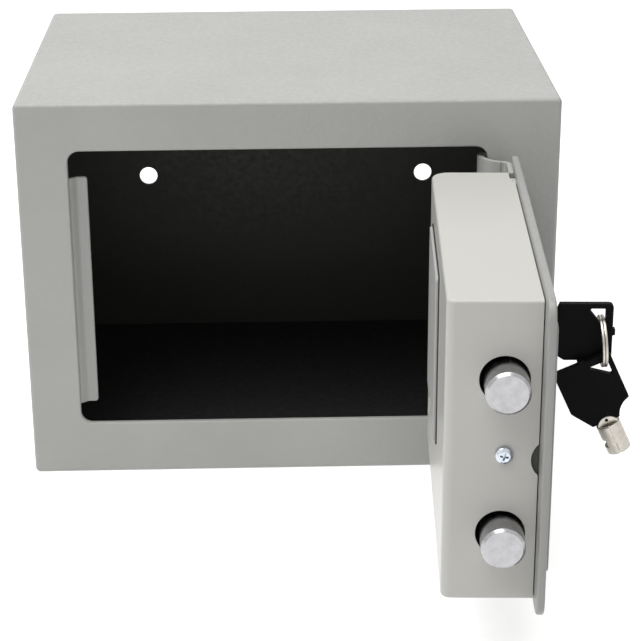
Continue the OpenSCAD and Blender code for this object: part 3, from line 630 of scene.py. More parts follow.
def make_finishes(cabinet, door, keys):
    """Every material of the safe, by its name."""
    # The door plate and the folded strip take the cabinet's paint a little darker: painted shade, for the
    # shade on the plate's edge and in the strip's recess
    painted_shade = 0.84
    plate = Vector(cabinet.paint) * painted_shade
    # Colour, size and depth of the pattern, roughness, then drift of the colour and its scale
    coats = {
        "powder_peel": {
            "cabinet_paint": (cabinet.paint, 2.2, 0.15, (0.36, 0.5)),
            "plate_paint": (plate, 1.8, 0.12, (0.34, 0.48)),
            # Near black paint of the inside, which also stands as painted shade on the box bracket
            "inner_paint": (cabinet.inside, 2.4, 0.05, (0.5, 0.62)),
            "box_paint": (door.paint, 1.8, 0.003, (0.3, 0.33), 0.015),
        },
        "fabric_pile": {
            "mat_fabric": (cabinet.mat, 0.8, 0.35, (0.9, 1.0), 0.35, 300),
        },
        "moulded_grain": {
            "panel_plastic": (door.panel, 0.5, 0.012, (0.42, 0.52)),
            "cover_plastic": ((0.5, 0.5, 0.48), 0.5, 0.01, (0.36, 0.46)),
            "button_plastic": (door.button, 0.4, 0.01, (0.45, 0.58)),
            "knob_plastic": (door.button, 0.6, 0.012, (0.35, 0.48)),
            "digit_print": (door.digit, 0.3, 0.004, (0.5, 0.6)),
            "black_plastic": ((0.022, 0.022, 0.024), 0.6, 0.015, (0.45, 0.6)),
            "board_laminate": ((0.02, 0.11, 0.05), 0.8, 0.01, (0.35, 0.5), 0.1, 200),
            "coil_steel": ((0.3, 0.19, 0.05), 0.5, 0.02, (0.3, 0.45), 0.12, 150),
            "cell_wrap": ((0.025, 0.026, 0.03), 1.2, 0.004, (0.25, 0.35)),
            "cell_band": ((0.42, 0.2, 0.07), 1.2, 0.004, (0.25, 0.35)),
            "reset_red": ((0.42, 0.02, 0.015), 0.5, 0.008, (0.3, 0.42)),
            "lead_red": ((0.4, 0.02, 0.015), 0.6, 0.006, (0.4, 0.5)),
            "key_black": (keys.plastic, 0.45, 0.01, (0.45, 0.6)),
        } | {lens: (tint, 0.6, 0.003, (0.1, 0.18)) for lens, tint in LENSES.items()},
    }
    gloss = {"key_black": {"Specular_IOR_Level": 0.06}} | {lens: {"Coat_Weight": 0.5} for lens in LENSES}
    # Colour, roughness, depth, stretch and scale of the lines, then drift of the colour and its scale
    even = (1, 1, 1)
    metals = {
        "zinc_steel": ((0.5, 0.51, 0.52), (0.34, 0.5), 0.004, (1, 1, 0.2), 500, 0.16, 240),
        "screw_zinc": ((0.56, 0.6, 0.66), (0.16, 0.3), 0.002, even, 700, 0.1, 500),
        "bolt_chrome": ((0.4, 0.4, 0.41), (0.12, 0.3), 0.0015, even, 1100, 0.12, 260),
        "lock_chrome": ((0.6, 0.6, 0.61), (0.08, 0.18), 0.0008, even, 900, 0.05, 120),
        "key_nickel": (keys.nickel, (0.24, 0.42), 0.004, even, 700, 0.14, 400),
        "bush_brass": ((0.6, 0.42, 0.16), (0.2, 0.35), 0.002, even, 700),
        "contact_steel": ((0.6, 0.58, 0.52), (0.2, 0.35), 0.002, even, 600),
    }
    finishes = {name: textured(name, pattern, *values, **gloss.get(name, {}))
                for pattern, group in coats.items() for name, values in group.items()}
    return finishes | {name: brushed(name, *values) for name, values in metals.items()}


FINISH = {}


# ---- Pieces ----

class SAFE_OT_finishes(bpy.types.Operator):
    """Make the materials, and give them to the CAD pieces that keep their shape"""
    bl_idname = "safe.finishes"
    bl_label = "Finishes"

    kept_nodes = {
        # The bracket takes the near black inside paint as painted shade, so that the notch in the box shows
        # dark
        "inner_paint": ["box_bracket"],
        "zinc_steel": ["bolt_carrier", "guide_screws", "drive_cam", "knob_shaft", "lock_nut", "lock_cam",
                       "solenoid_plunger", "solenoid_screws"],
        "bush_brass": ["knob_bush"],
        "coil_steel": ["solenoid"],
        "board_laminate": ["keypad_board"],
        "contact_steel": ["battery_contacts"],
        "lead_red": ["wiring"],
    }

    def execute(self, context):
        scene = context.scene
        FINISH.update(make_finishes(scene.safe_cabinet, scene.safe_door, scene.safe_keys))
        for finish, nodes in self.kept_nodes.items():
            refinish(finish, *nodes)
        return {"FINISHED"}


class SAFE_OT_stage(bpy.types.Operator):
    """Add the floor, the lamps and the camera"""
    bl_idname = "safe.stage"
    bl_label = "Stage"

    # The camera's place in millimetres and its angles in degrees, worked out from the cabinet's edges
    camera_place = (-6.94, -864.49, 383.32)
    camera_down = 21.807
    camera_left = -1.455
    camera_roll = -0.32
    # Width of each lamp, its place and the point that it shines at, in metres
    lamps = {
        "overhead": (1.6, (-0.35, -0.35, 1.6), (0, 0, 0.08)),
        "front": (1.2, (-1.1, -1.7, 0.9), (0, -0.1, 0.08)),
    }
    # How far the floor is lifted to white
    floor_glow = 0.62

    def execute(self, context):
        settings = context.scene.safe_stage
        self.add_camera(settings)
        self.add_floor(settings)
        self.add_light(settings)
        context.scene.view_settings.view_transform = "Standard"
        return {"FINISHED"}

    def add_camera(self, settings):
        bpy.ops.object.camera_add(location=Vector(self.camera_place) * MM)
        camera = bpy.context.object
        camera.name = "camera"
        camera.matrix_world = (shift(*self.camera_place) @ turn(self.camera_left, "Z")
                               @ turn(90 - self.camera_down, "X") @ turn(self.camera_roll, "Z"))
        camera.data.lens = settings.lens
        camera.data.sensor_width = 36
        camera.data.sensor_fit = "HORIZONTAL"
        camera.data.clip_start = 10 * MM
        bpy.context.scene.camera = camera

    def add_floor(self, settings):
        bpy.ops.mesh.primitive_grid_add(x_subdivisions=4, y_subdivisions=4, size=settings.floor_size)
        floor = bpy.context.object
        floor.name = "floor"
        material, tree, shader, place = start_material("floor_paper", Roughness=0.9, Specular_IOR_Level=0.0)
        add_tone(tree, shader, place, (0.9, 0.9, 0.9), 0.01, 3)
        self.lift(tree, shader, self.floor_glow)
        paint(floor, material)

    def lift(self, tree, shader, strength):
        """Lifts the floor to white for the rays that show it, and keeps the shadow on it."""
        seen = self.shown_rays(tree)
        shader.inputs["Emission Strength"].default_value = strength
        tint = add_node(tree, "ShaderNodeCombineColor", {0: seen, 1: seen, 2: seen})
        tree.links.new(tint.outputs[0], shader.inputs["Emission Color"])

    def shown_rays(self, tree):
        """1 for camera, glossy and transmission rays."""
        rays = tree.nodes.new("ShaderNodeLightPath").outputs
        shown = calculate(tree, "MAXIMUM", rays["Is Camera Ray"], rays["Is Glossy Ray"])
        return calculate(tree, "MAXIMUM", shown, rays["Is Transmission Ray"])

    def add_light(self, settings):
        world = bpy.data.worlds.new("daylight")
        world.use_nodes = True
        tree = world.node_tree
        seen = self.shown_rays(tree)
        strength = spread(tree, seen, 0, 1, settings.daylight, 1.0)
        background = tree.nodes["Background"]
        background.inputs["Color"].default_value = (1, 1, 1, 1)
        tree.links.new(strength, background.inputs["Strength"])
        bpy.context.scene.world = world
        for name, (size, place, target) in self.lamps.items():
            self.add_lamp("lamp_" + name, getattr(settings, name), size, place, target)

    def add_lamp(self, name, power, size, place, target):
        bpy.ops.object.light_add(type="AREA", location=place)
        lamp = bpy.context.object
        lamp.name = name
        lamp.data.energy = power
        lamp.data.size = size
        towards = Vector(target) - Vector(place)
        lamp.rotation_euler = towards.to_track_quat("-Z", "Y").to_euler()


class SAFE_OT_cabinet(bpy.types.Operator):
    """Model the painted cabinet with its front and door opening"""
    bl_idname = "safe.cabinet"
    bl_label = "Cabinet"

    # Bend between the front and the walls on the inside, and rounding of the rim at the back
    inner_bend = 0.5
    rim_edge = 0.25

    def execute(self, context):
        settings = context.scene.safe_cabinet
        sheet, bend = settings.sheet / MM, settings.edge_radius / MM
        front, lip = settings.front_radius / MM, settings.lip_radius / MM
        low, high = still_box("front_frame")
        back = still_box("cabinet_shell")[1].y
        frame_in = high.y
        body = cube("cabinet_body", low, (high.x, back, high.z))
        bend_edges(body, bend, 6, lambda middle, along: abs(along.y) > 0.9)
        bend_edges(body, front, 6, lambda middle, along: middle.y < low.y + NEAR)
        inset = Vector((sheet, 0, sheet))
        hollow = cube("hollow", Vector((low.x, frame_in, low.z)) + inset,
                      Vector((high.x, back + 1, high.z)) - inset)
        bend_edges(hollow, bend - sheet, 5, lambda middle, along: abs(along.y) > 0.9)
        bend_edges(hollow, self.inner_bend, 3, lambda middle, along: middle.y < frame_in + NEAR)
        door = opening_box()
        opening = cutter(rectangle(*door, settings.opening_radius / MM), "Y", low.y, frame_in + 1)
        combine(body, [hollow, opening])
        bend_edges(body, lip, 3, lambda middle, along: middle.y < low.y + NEAR
                   and door[0].x - 1 < middle.x < door[1].x + 1
                   and door[0].z - 1 < middle.z < door[1].z + 1)
        bend_edges(body, self.rim_edge, 2, lambda middle, along: middle.y > back - NEAR)
        paint(body, FINISH["cabinet_paint"])
        paint(body, FINISH["inner_paint"],
              lambda middle, normal: frame_in - 0.1 < middle.y < back - 0.3
              and abs(middle.x) < high.x - sheet + 0.2
              and sheet - 0.2 < middle.z < high.z - sheet + 0.2)
        smooth(body)
        fasten(body, "cabinet", "cabinet_paint", "cabinet_shell", "front_frame")
        return {"FINISHED"}


def opening_box():
    """Corners of the door opening: the door plate with its gaps at both sides, top and bottom."""
    gap_free, gap_hinge, gap_z = 1.8, 5, 1.2
    low, high = shut_box("door_plate")
    return (low - Vector((gap_free, 0, gap_z)), high + Vector((gap_hinge, 0, gap_z)))


class SAFE_OT_back_sheet(bpy.types.Operator):
    """Model the back sheet with its two anchor holes"""
    bl_idname = "safe.back_sheet"
    bl_label = "Back sheet"

    hole_pitch = 141
    hole_height = 85.4
    hole_diameter = 9
    corner = 2.4
    # Gap round the sheet, inside the walls
    gap = 0.08

    def execute(self, context):
        low, high = still_box("back_panel")
        gap = Vector((self.gap, 0, self.gap))
        back = prism("back_sheet", rectangle(low + gap, high - gap, self.corner), "Y", low.y, high.y)
        centres = [side * self.hole_pitch / 2 for side in (-1, 1)]
        split_at(back, "X", centres)
        combine(back, [cutter(disc(x, self.hole_height, self.hole_diameter / 2), "Y", low.y, high.y)
                       for x in centres])
        round_edges(back, 0.25, 2)
        paint(back, FINISH["inner_paint"])
        paint(back, FINISH["cabinet_paint"], lambda middle, normal: middle.y > low.y + 0.5)
        smooth(back)
        fasten(back, "cabinet", "inner_paint", "back_panel")
        return {"FINISHED"}


class SAFE_OT_strike(bpy.types.Operator):
    """Model the folded strip beside the opening that the bolts pass behind"""
    bl_idname = "safe.strike"
    bl_label = "Strike flange"

    # Height of the strip's upper end, as photographed
    upper_end = 136.8

    def execute(self, context):
        low, high = still_box("strike_flange")
        edge = opening_box()[0].x
        sheet = 1.5
        step_y = high.y - 2
        folded = prism("strike_strip", rounded([
            (low.x, low.y, 0), (edge + 0.9, low.y, 2), (edge + 3.2, step_y, 2), (high.x, step_y, 0.6),
            (high.x, step_y + sheet, 0.6), (edge + 2.6, step_y + sheet, 1.5),
            (edge + 0.3, low.y + sheet, 1.5), (low.x, low.y + sheet, 0)]), "Z", low.z - 1, high.z + 1)
        blank = rounded([(low.x - 1, low.z, 0), (high.x, low.z, 1.5), (high.x, self.upper_end, 1.2),
                         (low.x - 1, self.upper_end, 0)])
        combine(folded, [cutter(blank, "Y", low.y, high.y)], "INTERSECT")
        round_edges(folded, 0.35, 2, 50)
        # The strip's darker paint is painted shade of its recess
        fasten(coat(folded, "plate_paint"), "cabinet", "cabinet_paint", "strike_flange")
        return {"FINISHED"}


class SAFE_OT_mat(bpy.types.Operator):
    """Model the felt mat on the floor"""
    bl_idname = "safe.mat"
    bl_label = "Floor mat"

    thickness = 1.8
    # Height of the felt's ripples and their size
    ripple = 0.3
    ripple_size = 9

    def execute(self, context):
        low, high = still_box("floor_mat")
        size = high - low
        bpy.ops.object.select_all(action="DESELECT")
        centre = midpoint((low, high))
        bpy.ops.mesh.primitive_grid_add(x_subdivisions=110, y_subdivisions=82, size=1,
                                        location=Vector((centre.x, centre.y, high.z - self.ripple)) * MM)
        mat = bpy.context.object
        mat.name = "felt_mat"
        mat.scale = (size.x * MM, size.y * MM, 1)
        settle(mat)
        pile = bpy.data.textures.new("mat_ripple", "CLOUDS")
        pile.noise_scale = self.ripple_size * MM
        modify(mat, "DISPLACE", texture=pile, strength=self.ripple * MM, mid_level=0.5, direction="Z",
               texture_coords="LOCAL")
        modify(mat, "SOLIDIFY", thickness=self.thickness * MM, offset=-1)
        fasten(coat(mat, "mat_fabric"), "cabinet", "mat_fabric", "floor_mat")
        return {"FINISHED"}


# Length of the cut at the hinge end of the door's box, for the gooseneck's tail
BOX_NOTCH = 9


class SAFE_OT_hinge(bpy.types.Operator):
    """Model the gooseneck, the hinge pin and the tabs that hold the pin"""
    bl_idname = "safe.hinge"
    bl_label = "Hinge"

    def execute(self, context):
        refine("pin_tabs", "hinge_tabs", 0.35, "inner_paint", "cabinet", "cabinet_paint")
        refine("pivot_pin", "hinge_pin", 0.4, "zinc_steel", "door", "zinc_steel")
        arm = join([softened("gooseneck", "hinge_arm", 0.4)] + self.welds(), "gooseneck")
        fasten(coat(arm, "cabinet_paint", 60), "door", "cabinet_paint", "hinge_arm")
        return {"FINISHED"}

    def welds(self):
        """Two short welds where the box meets the plate, at the end of the gooseneck's tail."""
        low, high = shut_box("door_box")
        end = high.x - BOX_NOTCH - 3.4
        bead = rounded([(-3, 0, 0), (-3, 0.5, 0.4), (-1, 1.5, 1.2), (1.5, 1.6, 1.2), (3, 0.5, 0.4),
                        (3, 0, 0)], 4)
        beads = []
        for z in (low.z + 1.0, high.z - 1.0):
            weld = turned("weld", bead, "X", (end, low.y + 0.6, z), 20)
            beads.append(move(move(weld, shift(end, 0, 0)), SWING))
        return beads


def window_outline():
    """Outline of the window for the circuit board, in the plate and behind the front panel."""
    low, high = shut_box("keypad_board")
    margin = Vector((0.4, 0, 0.4))
    return rectangle(low - margin, high + margin, 0.5)


def round_holes(low, high):
    """Cutters for the holes that the lock's housing and the knob's bush go through."""
    return [cutter(disc(place.x, place.z, radius), "Y", low.y, high.y)
            for place, radius in ((centre_of("lock_housing"), 9.05), (centre_of("knob_bush"), 6.05))]


class SAFE_OT_door_plate(bpy.types.Operator):
    """Model the thick door plate"""
    bl_idname = "safe.door_plate"
    bl_label = "Door plate"

    def execute(self, context):
        settings = context.scene.safe_door
        low, high = shut_box("door_plate")
        corner = settings.plate_corner / MM
        plate = prism("thick_plate", rounded([(low.x, low.z, corner), (high.x, low.z, 1), (high.x, high.z, 1),
                                              (low.x, high.z, corner)]), "Y", low.y, high.y)
        round_edges(plate, settings.plate_edge / MM, 4)
        split_at(plate, "X", [centre_of(node).x for node in ("lock_housing", "knob_bush", "keypad_board")])
        combine(plate, [cutter(window_outline(), "Y", low.y, high.y)] + round_holes(low, high))
        # The plate's darker paint is painted shade on its edge
        hang(coat(plate, "plate_paint"), "door", "cabinet_paint", "door_plate")
        return {"FINISHED"}


class SAFE_OT_door_box(bpy.types.Operator):
    """Model the folded box behind the plate, with its openings for bolts, screw, batteries and hinge"""
    bl_idname = "safe.door_box"
    bl_label = "Door box"

    sheet = 1.2
    # Seam left open between the box's rim and the plate
    seam = 0.4
    # The bolts come out low in their holes, and towards the plate
    bolt_off = Vector((0, 0.5, 0.6))
    screw_hole = 1.7
    reset_hole = 3.3
    # The notch beside the plate: how far below the screw its middle is, its height and its depth
    notch = (2.2, 13, 3)

    def plan(self, low, high, inset, settings):
        """Plan of the box, open towards the plate."""
        free, hinge = settings.bolt_bend / MM - inset, settings.hinge_bend / MM - inset
        rim = low.y + self.seam if not inset else low.y - 1
        return rounded([(low.x + inset, rim, 0), (high.x - inset, rim, 0),
                        (high.x - inset, high.y - inset, hinge), (low.x + inset, high.y - inset, free)], 8)

    def execute(self, context):
        settings = context.scene.safe_door
        low, high = shut_box("door_box")
        box = prism("folded_box", self.plan(low, high, 0, settings), "Z", low.z, high.z)
        bend_edges(box, settings.box_edge / MM, 4,
                   lambda middle, along: abs(along.z) < 0.1 and middle.y > low.y + self.seam + NEAR)
        hollow = prism("hollow", self.plan(low, high, self.sheet, settings), "Z",
                       low.z + self.sheet, high.z - self.sheet)
        combine(box, [hollow] + self.cuts(low, high, settings))
        round_edges(box, 0.18, 2, 60)
        hang(coat(box, "box_paint"), "door", "box_paint", "door_box")
        return {"FINISHED"}

    def cuts(self, low, high, settings):
        side = ("X", low.x, low.x + self.sheet)
        back = ("Y", high.y - self.sheet, high.y)
        cuts = []
        for bolt in ("upper_bolt", "lower_bolt"):
            bolt_low, bolt_high = shut_box(bolt)
            centre = midpoint((bolt_low, bolt_high)) + self.bolt_off
            radius = (bolt_high.z - bolt_low.z) / 2 + settings.bolt_gap / MM
            cuts.append(cutter(disc(centre.y, centre.z, radius), *side))
        screw = centre_of("box_screw")
        cuts.append(cutter(disc(screw.y, screw.z, self.screw_hole, 24), *side))
        # A round cut from beside the plate, which leaves a D
        drop, height, depth = self.notch
        behind = (height ** 2 / 4 - depth ** 2) / (2 * depth)
        cuts.append(cutter(disc(low.y - behind, screw.z - drop, behind + depth, 96), *side))
        case_low, case_high = shut_box("battery_case")
        rim = Vector((3, 0, 3))
        cuts.append(cutter(rectangle(case_low + rim, case_high - rim, 1), *back))
        reset = centre_of("reset_button")
        cuts.append(cutter(disc(reset.x, reset.z, self.reset_hole), *back))
        # Clearance for the tail of the gooseneck
        tail_low = (high.x - BOX_NOTCH, low.y - 1, low.z - 1)
        return cuts + [cube("cut", tail_low, (high.x + 1, low.y + 2.3, high.z + 1))]


class SAFE_OT_box_screw(bpy.types.Operator):
    """Model the pan head screw with its cross recess"""
    bl_idname = "safe.box_screw"
    bl_label = "Box screw"

    def execute(self, context):
        low, high = shut_box("box_screw")
        centre = midpoint((low, high))
        face = shut_box("door_box")[0].x
        head, shank = (high.z - low.z) / 2, 1.45
        screw = turned("pan_screw", rounded([
            (low.x, 0, 0), (low.x, head * 0.62, 1.1), (low.x + 0.8, head, 0.7), (face, head, 0.15),
            (face, shank, 0), (high.x, shank, 0.3), (high.x, 0, 0)]), "X", centre)
        combine(screw, [self.recess(low.x, centre)])
        hang(coat(screw, "screw_zinc", 50), "door", "screw_zinc", "box_screw")
        return {"FINISHED"}

    def recess(self, face, centre):
        """A plus-shaped pit that narrows inwards."""
        arm, half, depth, narrow = 1.75, 0.42, 1.4, 0.55
        points = []
        for quarter in range(4):
            a = quarter * pi / 2
            for across, up in ((half, half), (half, arm), (-half, arm)):
                points.append(Vector((across * cos(a) - up * sin(a), across * sin(a) + up * cos(a))))
        points = [point + Vector((centre.y, centre.z)) for point in points]
        pit = prism("recess", points, "X", face - 0.5, face + depth)
        pick(pit, "FACE", lambda middle, normal: middle.x > face + depth - NEAR)
        bottom = Vector((face + depth, centre.y, centre.z)) * MM
        bpy.ops.transform.resize(value=(1, narrow, narrow), center_override=bottom)
        close_edit()
        return move(pit, Matrix.Translation(bottom) @ turn(12, "X") @ Matrix.Translation(-bottom))


class SAFE_OT_bolts(bpy.types.Operator):
    """Model the two chromed bolts"""
    bl_idname = "safe.bolts"
    bl_label = "Bolts"

    def execute(self, context):
        carrier = shut_box("bolt_carrier")[0].x
        for node in ("upper_bolt", "lower_bolt"):
            low, high = shut_box(node)
            radius = (high.z - low.z) / 2
            neck, head, neck_l = radius / 2, radius / 2 + 1.5, 2
            bolt = turned(node.replace("_", "_chrome_"), rounded([
                (low.x, 0, 0), (low.x, radius - 1, 0.12), (low.x + 1, radius, 0.3), (carrier, radius, 0.2),
                (carrier, neck, 0), (carrier + neck_l, neck, 0), (carrier + neck_l, head, 0.2),
                (high.x, head, 0.2), (high.x, 0, 0)]), "X", midpoint((low, high)), 96)
            hang(coat(bolt, "bolt_chrome", 30), "bolts", "bolt_chrome", node)
        return {"FINISHED"}


class SAFE_OT_front_panel(bpy.types.Operator):
    """Model the plastic front panel with its openings"""
    bl_idname = "safe.front_panel"
    bl_label = "Front panel"

    # Thickness of the face over the circuit board, and the holes of the buttons and the lenses
    face = 1.2
    button_hole = Vector((5.8, 0, 5.3))
    lens_hole = 2.05

    def execute(self, context):
        low, high = shut_box("front_panel")
        panel = prism("facing_panel", rectangle(low, high, 3), "Y", low.y, high.y)
        bend_edges(panel, 0.8, 3, lambda middle, along: middle.y < low.y + NEAR)
        cuts = [prism("cut", window_outline(), "Y", low.y + self.face, high.y + 1)]
        for place in (centre_of(node) for node in BUTTONS):
            hole = rectangle(place - self.button_hole, place + self.button_hole, 2)
            cuts.append(cutter(hole, "Y", low.y, high.y))
        for place in lens_places():
            cuts.append(cutter(disc(place.x, place.z, self.lens_hole, 32), "Y", low.y, high.y))
        cuts += round_holes(low, high)
        split_at(panel, "X", [place.x for place in
                              (centre_of("lock_housing"), centre_of("knob_bush"), *lens_places())])
        combine(panel, cuts)
        round_edges(panel, 0.15, 2, 60)
        hang(coat(panel, "panel_plastic"), "door", "panel_plastic", "front_panel")
        return {"FINISHED"}


BUTTONS = {f"button_{digit}": str(digit) for digit in range(10)} | {"button_clear": "*", "button_enter": "#"}


def lens_places():
    """Middles of the three lenses."""
    low, high = shut_box("status_lenses")
    centre = midpoint((low, high))
    reach = (high.x - low.x) / 2 - 2
    return [Vector((centre.x + side * reach, centre.y, centre.z)) for side in (-1, 0, 1)]


class SAFE_OT_keypad(bpy.types.Operator):
    """Model the twelve buttons and the three lenses"""
    bl_idname = "safe.keypad"
    bl_label = "Keypad"

    digit_size = 6.4
    digit_depth = 0.12

    def execute(self, context):
        blank = self.blank_button()
        centre = centre_of("button_5")
        face = shut_box("button_5")[0].y
        for node, mark in BUTTONS.items():
            place = centre_of(node)
            cap = move(duplicate(blank, "cap"), shift(place.x - centre.x, 0, place.z - centre.z))
            button = join([cap, self.digit(mark, place, face)], node.replace("button", "keypad_cap"))
            hang(smooth(button), node, "button_plastic", node)
        bpy.data.objects.remove(blank)
        self.add_lenses()
        return {"FINISHED"}

    def blank_button(self):
        """A button with a dished cap, a flange under the panel and a foot over its switch."""
        low, high = shut_box("button_5")
        centre = midpoint((low, high))
        half, flange = Vector((5.5, 0, 5)), Vector((6.3, 0, 5.8))
        flange_y, foot_r = low.y + 2.2, 2
        cap = prism("button", rectangle(centre - half, centre + half, 1.8), "Y", low.y, flange_y + 0.2)
        pick(cap, "FACE", lambda middle, normal: normal.y < -0.9)
        bpy.ops.mesh.inset(thickness=1.3 * MM)
        bpy.ops.transform.translate(value=(0, 0.3 * MM, 0))
        close_edit()
        round_edges(cap, 0.45, 3, 25)
        rim = prism("rim", rectangle(centre - flange, centre + flange, 1.8), "Y", flange_y, flange_y + 0.6)
        foot = turned("foot", [(flange_y + 0.4, 0), (flange_y + 0.4, foot_r), (high.y, foot_r), (high.y, 0)],
                      "Y", centre, 32)
        combine(cap, [rim, foot], "UNION")
        return paint(cap, FINISH["button_plastic"])

    def digit(self, mark, place, face):
        """A printed mark, a little proud of the button's dish."""
        bpy.ops.object.select_all(action="DESELECT")
        bpy.ops.object.text_add()
        text = bpy.context.object
        text.data.body = mark
        text.data.align_x = "CENTER"
        text.data.align_y = "CENTER"
        text.data.size = self.digit_size * MM
        text.data.extrude = self.digit_depth * MM
        text.data.resolution_u = 6
        only(text)
        bpy.ops.object.convert(target="MESH")
        printed = bpy.context.object
        move(printed, shift(place.x, face + 0.3, place.z) @ turn(90, "X"))
        printed.name = "digit"
        return paint(tidy_mesh(printed), FINISH["digit_print"])

    def add_lenses(self):
        low, high = shut_box("status_lenses")
        lenses = []
        for place, finish in zip(lens_places(), LENSES):
            lens = turned("lens", rounded([(high.y, 0, 0), (high.y, 2, 0.1), (low.y + 0.7, 2, 0.8),
                                           (low.y, 1, 1.2), (low.y, 0, 0)]), "Y", place, 40)
            lenses.append(paint(lens, FINISH[finish]))
        hang(smooth(join(lenses, "three_lenses")), "door", "lens_plastic", "status_lenses")


class SAFE_OT_knob(bpy.types.Operator):
    """Model the knob with its wing grip and pointer"""
    bl_idname = "safe.knob"
    bl_label = "Knob"

    def execute(self, context):
        low, high = shut_box("knob")
        centre = midpoint((low, high))
        radius = (high.z - low.z) / 2
        skirt_y = high.y - 4
        knob = turned("wing_knob", rounded([
            (high.y, 0, 0), (high.y, radius - 0.6, 0.3), (high.y - 1, radius, 0.4),
            (skirt_y + 0.6, radius, 0.8), (skirt_y, radius - 1.4, 0.8), (skirt_y, 0, 0)]), "Y", centre, 96)
        grip = Vector((3.5, 0, radius - 2))
        wing = prism("wing", rectangle(centre - grip, centre + grip, 3.4), "Y", low.y, skirt_y + 1)
        bend_edges(wing, 1.4, 4, lambda middle, along: middle.y < low.y + NEAR)
        combine(knob, [wing], "UNION")
        round_edges(knob, 0.6, 3, 50)
        bore = prism("bore", disc(centre.x, centre.z, 4.05), "Y", high.y - 7, high.y + 1)
        combine(knob, [bore])
        paint(knob, FINISH["knob_plastic"])
        mark_low = Vector((centre.x - 0.7, low.y - 0.02, centre.z + radius - 10))
        mark = prism("pointer", rectangle(mark_low, mark_low + Vector((1.4, 0, 6.5)), 0.6), "Y",
                     low.y + 0.01, low.y + 0.3)
        round_edges(mark, 0.05, 1)
        paint(mark, FINISH["digit_print"])
        knob = join([knob, move(mark, shift(0, -0.06, 0))], "wing_knob")
        hang(smooth(knob), "knob", "knob_plastic", "knob")
        return {"FINISHED"}


class SAFE_OT_lock(bpy.types.Operator):
    """Model the override lock's housing and its plug with a ring-shaped keyway"""
    bl_idname = "safe.lock"
    bl_label = "Lock"

    def execute(self, context):
        low, high = shut_box("lock_housing")
        centre = midpoint((low, high))
        flange, panel = (high.z - low.z) / 2, shut_box("front_panel")[0].y
        bore, body = 6.35, 9
        housing = turned("lock_barrel", rounded([
            (low.y, bore, 0.15), (low.y, flange - 0.6, 0.5), (panel, flange, 0.2), (panel, body, 0.1),
            (high.y, body, 0.4), (high.y, bore, 0.1)]), "Y", centre, 96)
        hang(coat(housing, "lock_chrome", 30), "door", "lock_chrome", "lock_housing")
        plug_low, plug_high = shut_box("lock_plug")
        tube_low, tube_high = shut_box("key_tube")
        tube = (tube_high.z - tube_low.z) / 2
        deep, outer, inner = tube_high.y + 0.4, tube + 0.15, tube - 1.25
        side = bore - 0.05
        plug = turned("keyway_plug", rounded([
            (plug_low.y, 0, 0), (plug_low.y, inner, 0.2), (deep, inner, 0), (deep, outer, 0),
            (plug_low.y, outer, 0.15), (plug_low.y, side, 0.15), (plug_high.y, side, 0.2),
            (plug_high.y, 0, 0)]), "Y", midpoint((plug_low, plug_high)), 72)
        hang(coat(plug, "lock_chrome", 30), "lock_plug", "lock_chrome", "lock_plug")
        return {"FINISHED"}


